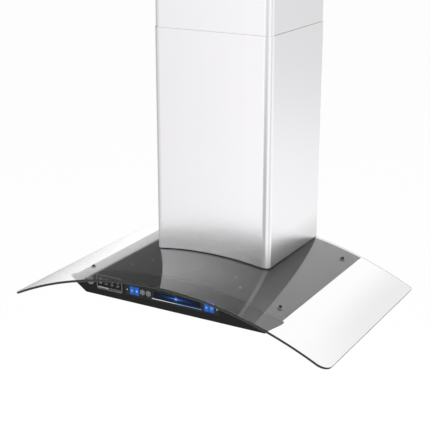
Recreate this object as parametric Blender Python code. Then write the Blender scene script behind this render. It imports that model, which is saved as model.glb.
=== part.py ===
"""Wall-mounted chimney range hood with a curved glass canopy, as an assembly of separate parts.

Metres, +Z up. X runs across the hood, -Y is its front, and the wall is the plane Y = 0.
The origin is the middle of the hood body's rear face, ORIGIN_HEIGHT above its underside.
"""

import math

import bmesh
import bpy
from mathutils import Matrix, Vector

for old_object in list(bpy.data.objects):
    bpy.data.objects.remove(old_object)

# ---------------------------------------------------------------- driving dimensions

GAP = 0.0003  # kept between two parts that touch
ORIGIN_HEIGHT = 0.040  # from the underside up to the origin

# Curved glass canopy
GLASS_WIDTH = 0.900
GLASS_DEPTH = 0.557
GLASS_THICKNESS = 0.006
GLASS_ARC_RADIUS = 0.971  # of the top face, about an axis along Y
GLASS_CORNER_RADIUS = 0.030
GLASS_LIFT = 0.002  # rubber pads hold the glass this far above the body
SCREW_SIDE_INSET = 0.027  # glass screws, in from the body's top edges
SCREW_FRONT_INSET = 0.054
SCREW_REAR_INSET = 0.0625
SCREW_HEAD_RADIUS = 0.0045
SCREW_HEAD_HEIGHT = 0.0026
SCREW_SHANK_RADIUS = 0.002
SCREW_HOLE_CLEARANCE = 0.0012
PAD_RADIUS = 0.008

# Hood body
BODY_TOP_WIDTH = 0.598
BODY_BOTTOM_WIDTH = 0.518
BODY_DEPTH = 0.489
BODY_HEIGHT = 0.0835  # underside to the underside of the glass, on the centre line
BODY_SHEET = 0.001
BACK_PANEL_THICKNESS = 0.0012
KEYHOLE_INSET = 0.109  # in from the body's bottom edges
KEYHOLE_HEAD_RADIUS = 0.0055
KEYHOLE_SLOT_RADIUS = 0.003
KEYHOLE_LENGTH = 0.012
UNDERSIDE_FOLD = 0.012  # height of the underside panel's folded-up side edges
INTAKE_MARGIN = 0.016  # body top left inside the blower box's walls

# Front plate and its controls
FASCIA_TOP_WIDTH = 0.614
FASCIA_THICKNESS = 0.002
FASCIA_RETURN = 0.009  # how far its top, sides and bottom are folded back
FASCIA_SHEET = 0.0012
PANEL_WIDTH = 0.272
PANEL_HEIGHT = 0.031
PANEL_CENTRE_HEIGHT = 0.0334  # above the underside
PANEL_THICKNESS = 0.0038
PANEL_RIM = 0.0095
PANEL_RIM_THICKNESS = 0.0015
KEY_WIDTH = 0.0128
KEY_HEIGHT = 0.0215
KEY_INNER_X = 0.1008
KEY_PITCH = 0.0144
KEY_DEPTH = 0.0035
KEY_PROUD = 0.0008
KEY_CLEARANCE = 0.0003
CLOCK_SIZE = (0.0345, 0.018)
CLOCK_CENTRE = (-0.0746, 0.0006)  # across, and up from the panel's centre
DISPLAY_SIZE = (0.1352, 0.0142)
DISPLAY_CENTRE = (0.0166, 0.0026)
BOARD_THICKNESS = 0.0016
HOUSING_DEPTH = 0.0165
HOUSING_WALL = 0.0015

# Telescopic chimney
CHIMNEY_WIDTH = 0.333
CHIMNEY_DEPTH = 0.296
CHIMNEY_CORNER_RADIUS = 0.020
CHIMNEY_SHEET = 0.0008
LOWER_COVER_HEIGHT = 0.5745  # top edge above the top of the glass
UPPER_COVER_LENGTH = 0.500
UPPER_COVER_SHOWING = 0.360
COVER_CLEARANCE = 0.0009
SEAL_THICKNESS = 0.0012
SEAL_WIDTH = 0.003
SEAL_PROUD = 0.001
BRACKET_HEIGHT = 0.030
BRACKET_ARM = 0.040
BRACKET_SHEET = 0.0015
BRACKET_FROM_TOP = 0.004
BRACKET_SCREW_RADIUS = 0.004
CLIP_WIDTH = 0.020
CLIP_LEG = 0.014
CLIP_HEIGHT = 0.030  # above the top of the glass

# Blower
BLOWER_CLEARANCE = 0.022  # from the upper cover's inner face to the blower box
BLOWER_WALL_SPACE = 0.012
BLOWER_HEIGHT = 0.260  # above the top of the glass
NOTCH_CLEARANCE = 0.008
INLET_SPACE = 0.050
SCROLL_WALL = 0.002
SCROLL_NECK = 0.026  # between the scroll's end and the blower box's top
SCROLL_REAR_SPACE = 0.01775  # between the scroll's end and the back of the blower box
SCROLL_TONGUE_ANGLE = math.radians(60)
SCROLL_MOUTH = 0.030
SCROLL_GROWTH = 0.027  # of its radius, round the impeller
IMPELLER_CLEARANCE = 0.010  # to the scroll, at its narrowest
INLET_LAP = 0.0025  # of the scroll's side over the blades' inner ends
IMPELLER_SIDE_CLEARANCE = 0.005
BLADE_DEPTH = 0.0105
BLADE_THICKNESS = 0.0012
BLADE_COUNT = 24
RING_THICKNESS = 0.003
HUB_RADIUS = 0.013
HUB_LENGTH = 0.020
SHAFT_RADIUS = 0.004
SHAFT_CLEARANCE = 0.0003
SHAFT_TIP = 0.008  # shaft beyond the impeller's hub
NUT_RADIUS = 0.0075
NUT_THICKNESS = 0.005
MOTOR_SPACE = 0.024  # between the motor and the rim of the inlet
MOTOR_START = 0.014
MOTOR_BORE_DEPTH = 0.022
MOTOR_ARM_WIDTH = 0.012
MOTOR_ARM_LAP = 0.009  # of the arms over the scroll's side
MOTOR_BRACKET_SHEET = 0.002

# Duct collar with its back-draught flaps
COLLAR_OUTER_RADIUS = 0.0745
COLLAR_WALL = 0.002
COLLAR_HEIGHT = 0.055
COLLAR_FLANGE = 0.012
COLLAR_FLANGE_THICKNESS = 0.002
FLAP_HEIGHT = 0.018  # hinge pin above the collar's base
FLAP_THICKNESS = 0.0008
FLAP_CLEARANCE = 0.0008
FLAP_LEDGE = 0.0015
PIN_RADIUS = 0.0016
KNUCKLE_RADIUS = 0.003
KNUCKLE_LENGTH = 0.030

# Underside: filters and lamps
FILTER_THICKNESS = 0.0095
FILTER_SHEET = 0.0008
FILTER_CLEARANCE = 0.001
FILTER_FRAME = 0.012
FILTER_FRONT_BAR = 0.026
OPENING_SIDE_MARGIN = 0.023
OPENING_REAR_MARGIN = 0.045
OPENING_FRONT_MARGIN = 0.114
BAFFLE_PITCH = 0.030
BAFFLE_WIDTH = 0.020
BAFFLE_HEIGHT = 0.0042
BAFFLE_SHEET = 0.0008
TAB_WIDTH = 0.016
TAB_LENGTH = 0.008
TAB_SPREAD = 0.035
LATCH_WIDTH = 0.036
LATCH_DEPTH = 0.008
LATCH_HEIGHT = 0.005
LATCH_GRIP_DEPTH = 0.003
LATCH_GRIP_DROP = 0.004
LATCH_TONGUE_WIDTH = 0.016
LATCH_TONGUE_THICKNESS = 0.0015
LATCH_TRAVEL = 0.006
LAMP_SIDE_INSET = 0.066  # in from the ends of the filter opening
LAMP_FROM_OPENING = 0.056
LAMP_RADIUS = 0.029
LAMP_FLANGE_RADIUS = 0.034
LAMP_HEIGHT = 0.014
LAMP_WALL = 0.0015
LENS_THICKNESS = 0.002

# Electrical parts
JUNCTION_BOX_SIZE = (0.072, 0.036, 0.028)
JUNCTION_BOX_SPACE = 0.012  # between it and the blower box
JUNCTION_BOX_WALL = 0.002
CAPACITOR_RADIUS = 0.016
CAPACITOR_HEIGHT = 0.045
CORNER_INSET = 0.025  # capacitor and cable gland, in from the blower box's sides
GLAND_RADIUS = 0.011

# ---------------------------------------------------------------- places that follow from them

UNDERSIDE_Z = -ORIGIN_HEIGHT
GLASS_TOP_Z = UNDERSIDE_Z + BODY_HEIGHT + GLASS_THICKNESS
ARC_CENTRE_Z = GLASS_TOP_Z - GLASS_ARC_RADIUS
GLASS_UNDER_RADIUS = GLASS_ARC_RADIUS - GLASS_THICKNESS
BODY_ARC_RADIUS = GLASS_UNDER_RADIUS - GLASS_LIFT
ARC_STEP = math.radians(1.15)

FRONT_Y = -BODY_DEPTH
FASCIA_BACK_Y = FRONT_Y + FASCIA_THICKNESS
BODY_FRONT_Y = FRONT_Y + FASCIA_RETURN + GAP
PANEL_Z = UNDERSIDE_Z + PANEL_CENTRE_HEIGHT
SCREW_X = BODY_TOP_WIDTH / 2 - SCREW_SIDE_INSET
SCREW_FRONT_Y = FRONT_Y + SCREW_FRONT_INSET
KEYHOLE_X = BODY_BOTTOM_WIDTH / 2 - KEYHOLE_INSET

CHIMNEY_HALF = CHIMNEY_WIDTH / 2
LOWER_TOP_Z = GLASS_TOP_Z + LOWER_COVER_HEIGHT
UPPER_INSET = CHIMNEY_SHEET + COVER_CLEARANCE
UPPER_TOP_Z = LOWER_TOP_Z + UPPER_COVER_SHOWING
FOOT_RADIUS = GLASS_ARC_RADIUS + GAP + SEAL_THICKNESS + GAP

COVER_INSIDE_HALF = CHIMNEY_HALF - UPPER_INSET - CHIMNEY_SHEET
COVER_INSIDE_FRONT_Y = -CHIMNEY_DEPTH + UPPER_INSET + CHIMNEY_SHEET
BLOWER_HALF = COVER_INSIDE_HALF - BLOWER_CLEARANCE
BLOWER_FRONT_Y = COVER_INSIDE_FRONT_Y + BLOWER_CLEARANCE
BLOWER_REAR_Y = -BLOWER_WALL_SPACE
BLOWER_TOP_Z = GLASS_TOP_Z + BLOWER_HEIGHT
BLOWER_CENTRE_Y = (BLOWER_FRONT_Y + BLOWER_REAR_Y) / 2
SCROLL_HALF = BLOWER_HALF - BODY_SHEET - INLET_SPACE
SCROLL_END_RADIUS = (BLOWER_REAR_Y - BLOWER_FRONT_Y) / 2 - SCROLL_REAR_SPACE
SCROLL_START_RADIUS = SCROLL_END_RADIUS - SCROLL_GROWTH
IMPELLER_RADIUS = SCROLL_START_RADIUS - IMPELLER_CLEARANCE
INLET_RADIUS = IMPELLER_RADIUS - BLADE_DEPTH - INLET_LAP
MOTOR_RADIUS = INLET_RADIUS - MOTOR_SPACE
SCROLL_TOP_Z = BLOWER_TOP_Z - BODY_SHEET - GAP
AXLE_Z = BLOWER_TOP_Z - SCROLL_END_RADIUS - SCROLL_NECK
AXLE = Vector((0, BLOWER_CENTRE_Y, AXLE_Z))
IMPELLER_HALF = SCROLL_HALF - SCROLL_WALL - IMPELLER_SIDE_CLEARANCE
COLLAR_BASE = Vector((0, BLOWER_CENTRE_Y, BLOWER_TOP_Z + GAP))
COLLAR_INNER_RADIUS = COLLAR_OUTER_RADIUS - COLLAR_WALL
PIN_CENTRE = COLLAR_BASE + Vector((0, 0, FLAP_HEIGHT))

PANEL_TOP_Z = UNDERSIDE_Z + BODY_SHEET
OPENING_HALF_WIDTH = BODY_BOTTOM_WIDTH / 2 - OPENING_SIDE_MARGIN
OPENING_REAR_Y = -OPENING_REAR_MARGIN
OPENING_FRONT_Y = FRONT_Y + OPENING_FRONT_MARGIN
LAMP_X = OPENING_HALF_WIDTH - LAMP_SIDE_INSET
LAMP_Y = OPENING_FRONT_Y - LAMP_FROM_OPENING
JUNCTION_BOX_X = BLOWER_HALF + JUNCTION_BOX_SPACE + JUNCTION_BOX_SIZE[0] / 2
FILTER_REAR_Y = OPENING_REAR_Y - FILTER_CLEARANCE
FILTER_FRONT_Y = OPENING_FRONT_Y + FILTER_CLEARANCE
FILTER_HINGE = Vector((0, (OPENING_REAR_Y + FILTER_REAR_Y) / 2, UNDERSIDE_Z + BODY_SHEET / 2))

SIDES = (("left", -1), ("right", 1))
UP = Vector((0, 0, 1))


# ---------------------------------------------------------------- outlines

def offset_path(path, distance, closed=False):
    """The path moved to its left by distance, with mitred corners."""
    moved = []
    for index, point in enumerate(path):
        neighbours = []
        if closed or index > 0:
            neighbours.append((path[index - 1], point))
        if closed or index < len(path) - 1:
            neighbours.append((point, path[(index + 1) % len(path)]))
        normals = []
        for start, end in neighbours:
            length = math.dist(start, end)
            normals.append(Vector((start[1] - end[1], end[0] - start[0])) / length)
        mitre = normals[0]
        if len(normals) == 2:
            mitre = (normals[0] + normals[1]) / (1 + normals[0].dot(normals[1]))
        moved.append((point[0] + mitre.x * distance, point[1] + mitre.y * distance))
    return moved


def strip(path, thickness):
    """The closed outline of a bent sheet: the path, and the path moved to its left."""
    return list(path) + offset_path(path, thickness)[::-1]


def arc(centre, radius, start, end, steps):
    """Points on a circle from one angle to another, both in degrees."""
    angles = [math.radians(start + (end - start) * step / steps) for step in range(steps + 1)]
    return [(centre[0] + radius * math.cos(a), centre[1] + radius * math.sin(a)) for a in angles]


def glass_arc_z(x, radius):
    """Height of the arc of this radius, about the glass's own axis."""
    return ARC_CENTRE_Z + math.sqrt(radius * radius - x * x)


def glass_arc(radius, left, right):
    """(x, z) points along an arc about the glass's own axis, between two x values."""
    steps = math.ceil((math.asin(right / radius) - math.asin(left / radius)) / ARC_STEP)
    first, last = math.asin(left / radius), math.asin(right / radius)
    angles = [first + (last - first) * step / steps for step in range(steps + 1)]
    return [(radius * math.sin(a), ARC_CENTRE_Z + radius * math.cos(a)) for a in angles]


def rectangle(left, right, low, high):
    return [(left, low), (right, low), (right, high), (left, high)]


def rounded_rectangle(left, right, low, high, radius, steps=6):
    corners = ((right, low, -1, 1, 270), (right, high, -1, -1, 0),
               (left, high, 1, -1, 90), (left, low, 1, 1, 180))
    outline = []
    for x, y, inward_x, inward_y, start in corners:
        centre = (x + inward_x * radius, y + inward_y * radius)
        outline += arc(centre, radius, start, start + 90, steps)
    return outline


def body_section(top_half_width, arc_radius):
    """Side, curved top and side of the body's cross-section, from its bottom left corner."""
    bottom_half_width = BODY_BOTTOM_WIDTH / 2
    left = [(-bottom_half_width, UNDERSIDE_Z)]
    right = [(bottom_half_width, UNDERSIDE_Z)]
    crown = glass_arc(arc_radius, -top_half_width, top_half_width)
    return left + crown + right


def cover_path(inset):
    """Outer face of a chimney cover seen from above: left side, rounded front corners, right side."""
    half = CHIMNEY_HALF - inset
    front = -CHIMNEY_DEPTH + inset
    radius = CHIMNEY_CORNER_RADIUS - inset
    left = arc((-half + radius, front + radius), radius, 180, 270, 8)
    right = arc((half - radius, front + radius), radius, 270, 360, 8)
    return [(-half, 0)] + left + right + [(half, 0)]


# ---------------------------------------------------------------- solids

def make_object(name, mesh, finish=None):
    data = bpy.data.meshes.new(name)
    bmesh.ops.recalc_face_normals(mesh, faces=mesh.faces)
    mesh.to_mesh(data)
    mesh.free()
    made = bpy.data.objects.new(name, data)
    bpy.context.scene.collection.objects.link(made)
    if finish:
        data.materials.append(finish)
    return made


def extrude(name, outline, axis, low, high, finish=None):
    """A prism along an axis. The outline is (y, z) across X, (x, z) across Y and (x, y) across Z."""
    mesh = bmesh.new()
    ends = []
    for level in (low, high):
        if axis == "X":
            points = [(level, a, b) for a, b in outline]
        elif axis == "Y":
            points = [(a, level, b) for a, b in outline]
        else:
            points = [(a, b, level) for a, b in outline]
        ends.append([mesh.verts.new(point) for point in points])
    mesh.faces.new(ends[0])
    mesh.faces.new(ends[1][::-1])
    for index in range(len(outline)):
        following = (index + 1) % len(outline)
        mesh.faces.new((ends[0][index], ends[0][following], ends[1][following], ends[1][index]))
    return make_object(name, mesh, finish)


def box(name, low, high, finish=None):
    return extrude(name, rectangle(low[0], high[0], low[1], high[1]), "Z", low[2], high[2], finish)


def turn(name, profile, origin, axis, finish=None, steps=32):
    """A solid of revolution about an axis through origin.

    The profile is (radius, distance along the axis). It is a closed loop, or it starts and ends at radius 0.
    """
    mesh = bmesh.new()
    points = [mesh.verts.new((radius, 0, along)) for radius, along in profile]
    for start, end in zip(points, points[1:]):
        mesh.edges.new((start, end))
    if profile[0][0] > 0:
        mesh.edges.new((points[-1], points[0]))
    geometry = list(mesh.verts) + list(mesh.edges)
    bmesh.ops.spin(mesh, geom=geometry, cent=(0, 0, 0), axis=UP, angle=math.tau, steps=steps, use_merge=True)
    bmesh.ops.remove_doubles(mesh, verts=mesh.verts, dist=1e-6)
    turned = UP.rotation_difference(Vector(axis)).to_matrix().to_4x4()
    bmesh.ops.transform(mesh, matrix=Matrix.Translation(origin) @ turned, verts=mesh.verts)
    made = make_object(name, mesh, finish)
    made.data.shade_smooth()
    made.data.set_sharp_from_angle(angle=math.radians(35))
    return made


def rod(name, radius, start, end, finish=None, steps=24):
    """A round bar from one point to another."""
    start, end = Vector(start), Vector(end)
    length = (end - start).length
    return turn(name, [(0, 0), (radius, 0), (radius, length), (0, length)], start, end - start, finish, steps)


def combine(target, tool, operation):
    modifier = target.modifiers.new(operation.lower(), "BOOLEAN")
    modifier.object = tool
    modifier.operation = operation
    modifier.solver = "EXACT"
    bpy.context.view_layer.update()
    graph = bpy.context.evaluated_depsgraph_get()
    result = bpy.data.meshes.new_from_object(target.evaluated_get(graph))
    before = target.data
    target.modifiers.clear()
    target.data = result
    bpy.data.meshes.remove(before)
    result.name = target.name
    bpy.data.objects.remove(tool)


def cut(target, *tools):
    for tool in tools:
        combine(target, tool, "DIFFERENCE")


def join(target, *pieces):
    for piece in pieces:
        combine(target, piece, "UNION")


def keep_inside(target, tool):
    combine(target, tool, "INTERSECT")


def put_origin(moving, point):
    """Moves an object's origin onto its joint, and leaves its shape where it is."""
    moving.data.transform(Matrix.Translation(-Vector(point)))
    moving.location = point


def below_arc(radius):
    """Everything under an arc about the glass's own axis, as a cutter."""
    reach = GLASS_WIDTH / 2
    floor = glass_arc_z(reach, radius) - BODY_HEIGHT
    outline = [(-reach, floor)] + glass_arc(radius, -reach, reach) + [(reach, floor)]
    return extrude("cutter", outline, "Y", -2 * GLASS_DEPTH, GLASS_DEPTH)


def arc_band(name, inner_radius, outer_radius, left, right, finish=None):
    """A bent slab between two arcs about the glass's own axis, deeper than the glass."""
    outline = glass_arc(inner_radius, left, right) + glass_arc(outer_radius, left, right)[::-1]
    return extrude(name, outline, "Y", -2 * GLASS_DEPTH, GLASS_DEPTH, finish)


def on_arc(x, y, radius):
    """A point on an arc, in line with the point x of the glass's top face, and the way straight out of it."""
    angle = math.asin(x / GLASS_ARC_RADIUS)
    outwards = Vector((math.sin(angle), 0, math.cos(angle)))
    return Vector((0, y, ARC_CENTRE_Z)) + outwards * radius, outwards


# ---------------------------------------------------------------- finishes

def finish_of(name, colour, roughness, metallic, alpha=1.0):
    material = bpy.data.materials.new(name)
    material.use_nodes = True
    shader = material.node_tree.nodes["Principled BSDF"]
    shader.inputs["Base Color"].default_value = (*colour, 1)
    shader.inputs["Roughness"].default_value = roughness
    shader.inputs["Metallic"].default_value = metallic
    shader.inputs["Alpha"].default_value = alpha
    return material


STEEL = finish_of("brushed_stainless_steel", (0.78, 0.78, 0.78), 0.32, 1.0)
ZINC = finish_of("galvanised_steel", (0.55, 0.56, 0.57), 0.45, 1.0)
BRIGHT_STEEL = finish_of("bright_steel", (0.70, 0.70, 0.71), 0.20, 1.0)
BLACK_PAINT = finish_of("black_painted_steel", (0.045, 0.045, 0.047), 0.45, 0.0)
FASCIA_BLACK = finish_of("gloss_black_front", (0.02, 0.02, 0.021), 0.22, 0.0)
PANEL_BLACK = finish_of("smoked_plastic", (0.035, 0.035, 0.037), 0.25, 0.0)
CLEAR_GLASS = finish_of("tempered_glass", (0.92, 0.95, 0.94), 0.02, 0.0, 0.25)
LENS_BLACK = finish_of("display_lens", (0.006, 0.008, 0.012), 0.08, 0.0)
KEY_BLUE = finish_of("blue_lit_key", (0.02, 0.20, 0.60), 0.25, 0.0)
BOARD_GREEN = finish_of("circuit_board", (0.02, 0.16, 0.06), 0.45, 0.0)
BLACK_PLASTIC = finish_of("black_plastic", (0.03, 0.03, 0.03), 0.50, 0.0)
WHITE_PLASTIC = finish_of("white_plastic", (0.75, 0.75, 0.73), 0.45, 0.0)
RUBBER = finish_of("black_rubber", (0.02, 0.02, 0.02), 0.80, 0.0)
LAMP_WHITE = finish_of("frosted_lens", (0.90, 0.90, 0.86), 0.40, 0.0)
ALUMINIUM = finish_of("aluminium", (0.72, 0.72, 0.73), 0.35, 1.0)


# ---------------------------------------------------------------- glass canopy

def make_glass():
    half = GLASS_WIDTH / 2
    glass = arc_band("glass_canopy", GLASS_UNDER_RADIUS, GLASS_ARC_RADIUS, -half, half, CLEAR_GLASS)
    plan = rounded_rectangle(-half, half, -GLASS_DEPTH, 0, GLASS_CORNER_RADIUS)
    keep_inside(glass, extrude("plan", plan, "Z", ARC_CENTRE_Z, LOWER_TOP_Z))
    notch_half = BLOWER_HALF + NOTCH_CLEARANCE
    notch_front = BLOWER_FRONT_Y - NOTCH_CLEARANCE
    notch = rounded_rectangle(-notch_half, notch_half, notch_front, GLASS_DEPTH, NOTCH_CLEARANCE)
    cut(glass, extrude("notch", notch, "Z", ARC_CENTRE_Z, LOWER_TOP_Z))
    for _, _, point, outwards in glass_screws(GLASS_ARC_RADIUS):
        reach = outwards * 2 * GLASS_THICKNESS
        cut(glass, rod("hole", SCREW_SHANK_RADIUS + SCREW_HOLE_CLEARANCE, point - reach, point + reach))
    glass.data.shade_smooth()
    glass.data.set_sharp_from_angle(angle=math.radians(20))


def glass_screws(radius):
    """(end, side, point, outwards) of each screw that holds the glass, on an arc of this radius."""
    for end, y in (("front", SCREW_FRONT_Y), ("rear", -SCREW_REAR_INSET)):
        for side, sign in SIDES:
            yield end, side, *on_arc(sign * SCREW_X, y, radius)


def make_glass_fixings():
    head, top = SCREW_HEAD_RADIUS, SCREW_HEAD_HEIGHT
    shank = SCREW_SHANK_RADIUS
    length = GLASS_THICKNESS + GLASS_LIFT + BODY_SHEET
    dome = [(0, top), (0.55 * head, 0.85 * top), (0.92 * head, 0.45 * top), (head, GAP)]
    profile = dome + [(shank, GAP), (shank, -length), (0, -length)]
    for end, side, point, outwards in glass_screws(GLASS_ARC_RADIUS):
        turn(f"glass_screw_{end}_{side}", profile, point, outwards, BRIGHT_STEEL, steps=20)
    bore = shank + GAP
    pad = [(PAD_RADIUS, GAP), (PAD_RADIUS, GLASS_LIFT - GAP), (bore, GLASS_LIFT - GAP), (bore, GAP)]
    for end, side, point, outwards in glass_screws(BODY_ARC_RADIUS):
        turn(f"glass_pad_{end}_{side}", pad, point, outwards, RUBBER, steps=20)


# ---------------------------------------------------------------- hood body

def make_body_shell():
    outline = strip(body_section(BODY_TOP_WIDTH / 2, BODY_ARC_RADIUS), -BODY_SHEET)
    rear = -BACK_PANEL_THICKNESS - GAP
    shell = extrude("body_shell", outline, "Y", BODY_FRONT_Y, rear, BLACK_PAINT)
    low = (-BLOWER_HALF + INTAKE_MARGIN, BLOWER_FRONT_Y + INTAKE_MARGIN, PANEL_Z)
    high = (BLOWER_HALF - INTAKE_MARGIN, BLOWER_REAR_Y - INTAKE_MARGIN, BLOWER_TOP_Z)
    cut(shell, box("intake", low, high))
    for _, _, point, outwards in glass_screws(BODY_ARC_RADIUS):
        reach = outwards * 4 * BODY_SHEET
        cut(shell, rod("hole", SCREW_SHANK_RADIUS + GAP, point - reach, point + reach, steps=20))
    shell.data.set_sharp_from_angle(angle=math.radians(20))


def make_back_panel():
    section = body_section(BODY_TOP_WIDTH / 2, BODY_ARC_RADIUS)
    panel = extrude("back_panel", section, "Y", -BACK_PANEL_THICKNESS, 0, ZINC)
    through = (-2 * BACK_PANEL_THICKNESS, BACK_PANEL_THICKNESS)
    for _, sign in SIDES:
        x = sign * KEYHOLE_X
        head = rod("head", KEYHOLE_HEAD_RADIUS, (x, through[0], 0), (x, through[1], 0))
        slot = box("slot", (x - KEYHOLE_SLOT_RADIUS, through[0], 0),
                   (x + KEYHOLE_SLOT_RADIUS, through[1], KEYHOLE_LENGTH))
        cut(panel, head, slot)


def inside_body_x(z):
    """Half the room between the body shell's slanted sides at a height, less the gap."""
    bottom, top = BODY_BOTTOM_WIDTH / 2, BODY_TOP_WIDTH / 2
    rise = glass_arc_z(top, BODY_ARC_RADIUS) - UNDERSIDE_Z
    sheet_across = (BODY_SHEET + GAP) * math.hypot(top - bottom, rise) / rise
    return bottom + (z - UNDERSIDE_Z) * (top - bottom) / rise - sheet_across


def make_underside_panel():
    """A plate with folded-up side edges that lie along the body shell's sides."""
    low, high = UNDERSIDE_Z, UNDERSIDE_Z + UNDERSIDE_FOLD
    bottom, top = inside_body_x(low), inside_body_x(high)
    outline = strip([(-top, high), (-bottom, low), (bottom, low), (top, high)], BODY_SHEET)
    rear = -BACK_PANEL_THICKNESS - GAP
    panel = extrude("underside_panel", outline, "Y", BODY_FRONT_Y, rear, STEEL)
    floor, ceiling = UNDERSIDE_Z - BODY_SHEET, UNDERSIDE_Z + 3 * BODY_SHEET
    half = OPENING_HALF_WIDTH
    cut(panel, box("opening", (-half, OPENING_FRONT_Y, floor), (half, OPENING_REAR_Y, ceiling)))
    for _, sign in SIDES:
        start, end = (sign * LAMP_X, LAMP_Y, floor), (sign * LAMP_X, LAMP_Y, ceiling)
        hole = rod("hole", LAMP_RADIUS + GAP, start, end, steps=32)
        cut(panel, hole)


# ---------------------------------------------------------------- front plate and controls

def panel_rectangle(width, height, centre=(0, 0)):
    """A rectangle on the front plate, placed from the control panel's centre."""
    x, z = centre[0], PANEL_Z + centre[1]
    return rectangle(x - width / 2, x + width / 2, z - height / 2, z + height / 2)


def key_centres():
    """(name, x) of the four keys: two at each end of the panel."""
    outer = KEY_INNER_X + KEY_PITCH
    return (("key_power", -outer), ("key_speed_down", -KEY_INNER_X),
            ("key_speed_up", KEY_INNER_X), ("key_light", outer))


def make_fascia():
    """A shallow tray, a little wider than the body, whose ears show beyond the body's top corners."""
    section = body_section(FASCIA_TOP_WIDTH / 2, GLASS_UNDER_RADIUS - GAP)
    fascia = extrude("front_plate", section, "Y", FRONT_Y, FRONT_Y + FASCIA_RETURN, FASCIA_BLACK)
    inside = offset_path(body_section(BODY_TOP_WIDTH / 2, BODY_ARC_RADIUS), -FASCIA_SHEET, closed=True)
    cut(fascia, extrude("inside", inside, "Y", FASCIA_BACK_Y, FRONT_Y + 2 * FASCIA_RETURN))
    window = panel_rectangle(PANEL_WIDTH + 2 * GAP, PANEL_HEIGHT + 2 * GAP)
    cut(fascia, extrude("window", window, "Y", FRONT_Y - FASCIA_THICKNESS, FASCIA_BACK_Y + FASCIA_THICKNESS))


def make_control_panel():
    back = FRONT_Y + PANEL_THICKNESS
    front = panel_rectangle(PANEL_WIDTH, PANEL_HEIGHT)
    panel = extrude("control_panel", front, "Y", FRONT_Y, back - PANEL_RIM_THICKNESS / 2, PANEL_BLACK)
    rim = panel_rectangle(PANEL_WIDTH + 2 * PANEL_RIM, PANEL_HEIGHT + 2 * PANEL_RIM)
    join(panel, extrude("rim", rim, "Y", FASCIA_BACK_Y + GAP, back))
    openings = [(KEY_WIDTH, KEY_HEIGHT, (x, 0)) for _, x in key_centres()]
    openings += [(*CLOCK_SIZE, CLOCK_CENTRE), (*DISPLAY_SIZE, DISPLAY_CENTRE)]
    for width, height, centre in openings:
        hole = panel_rectangle(width + 2 * KEY_CLEARANCE, height + 2 * KEY_CLEARANCE, centre)
        cut(panel, extrude("hole", hole, "Y", FRONT_Y - FASCIA_THICKNESS, back + FASCIA_THICKNESS))
    lenses = (("clock_lens", CLOCK_SIZE, CLOCK_CENTRE), ("display_lens", DISPLAY_SIZE, DISPLAY_CENTRE))
    for name, size, centre in lenses:
        extrude(name, panel_rectangle(*size, centre), "Y", FRONT_Y, back, LENS_BLACK)
    for name, x in key_centres():
        front_y = FRONT_Y - KEY_PROUD
        outline = rounded_rectangle(x - KEY_WIDTH / 2, x + KEY_WIDTH / 2, PANEL_Z - KEY_HEIGHT / 2,
                                    PANEL_Z + KEY_HEIGHT / 2, 0.0012, steps=3)
        key = extrude(name, outline, "Y", front_y, front_y + KEY_DEPTH, KEY_BLUE)
        put_origin(key, (x, front_y, PANEL_Z))


def make_control_electronics():
    board_front = FRONT_Y + PANEL_THICKNESS + GAP
    edge = PANEL_RIM - 0.002
    board = panel_rectangle(PANEL_WIDTH + 2 * edge, PANEL_HEIGHT + 2 * edge)
    extrude("control_board", board, "Y", board_front, board_front + BOARD_THICKNESS, BOARD_GREEN)
    inside = PANEL_RIM + GAP
    outside = inside + HOUSING_WALL
    front = FASCIA_BACK_Y + GAP
    outer = panel_rectangle(PANEL_WIDTH + 2 * outside, PANEL_HEIGHT + 2 * outside)
    inner = panel_rectangle(PANEL_WIDTH + 2 * inside, PANEL_HEIGHT + 2 * inside)
    housing = extrude("control_housing", outer, "Y", front, front + HOUSING_DEPTH, BLACK_PLASTIC)
    cut(housing, extrude("inside", inner, "Y", front - HOUSING_WALL, front + HOUSING_DEPTH - HOUSING_WALL))


# ---------------------------------------------------------------- chimney

def smooth_folds(cover):
    cover.data.shade_smooth()
    cover.data.set_sharp_from_angle(angle=math.radians(30))


def make_chimney():
    lower_outline = strip(cover_path(0), CHIMNEY_SHEET)
    lower = extrude("lower_chimney_cover", lower_outline, "Z", UNDERSIDE_Z, LOWER_TOP_Z, STEEL)
    cut(lower, below_arc(FOOT_RADIUS))
    smooth_folds(lower)
    upper_low = UPPER_TOP_Z - UPPER_COVER_LENGTH
    outline = strip(cover_path(UPPER_INSET), CHIMNEY_SHEET)
    upper = extrude("upper_chimney_cover", outline, "Z", upper_low, UPPER_TOP_Z, STEEL)
    screw_z = UPPER_TOP_Z - BRACKET_FROM_TOP - BRACKET_HEIGHT / 2
    for _, sign in SIDES:
        inner, outer = sign * (COVER_INSIDE_HALF - BRACKET_ARM), sign * 2 * CHIMNEY_HALF
        cut(upper, rod("hole", BRACKET_SCREW_RADIUS / 2 + GAP, (inner, -BRACKET_ARM / 2, screw_z),
                       (outer, -BRACKET_ARM / 2, screw_z), steps=16))
    smooth_folds(upper)
    put_origin(upper, (0, -CHIMNEY_DEPTH / 2, upper_low))


def make_chimney_seal():
    path = offset_path(cover_path(0), -SEAL_PROUD)
    outline = strip(path, SEAL_WIDTH)
    reach = CHIMNEY_HALF + 2 * SEAL_WIDTH
    seal = extrude("chimney_foot_seal", outline, "Z", UNDERSIDE_Z, LOWER_TOP_Z, RUBBER)
    low = GLASS_ARC_RADIUS + GAP
    keep_inside(seal, arc_band("band", low, low + SEAL_THICKNESS, -reach, reach))
    cut(seal, box("wall", (-reach, -GAP, UNDERSIDE_Z), (reach, GLASS_DEPTH, LOWER_TOP_Z)))


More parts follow.
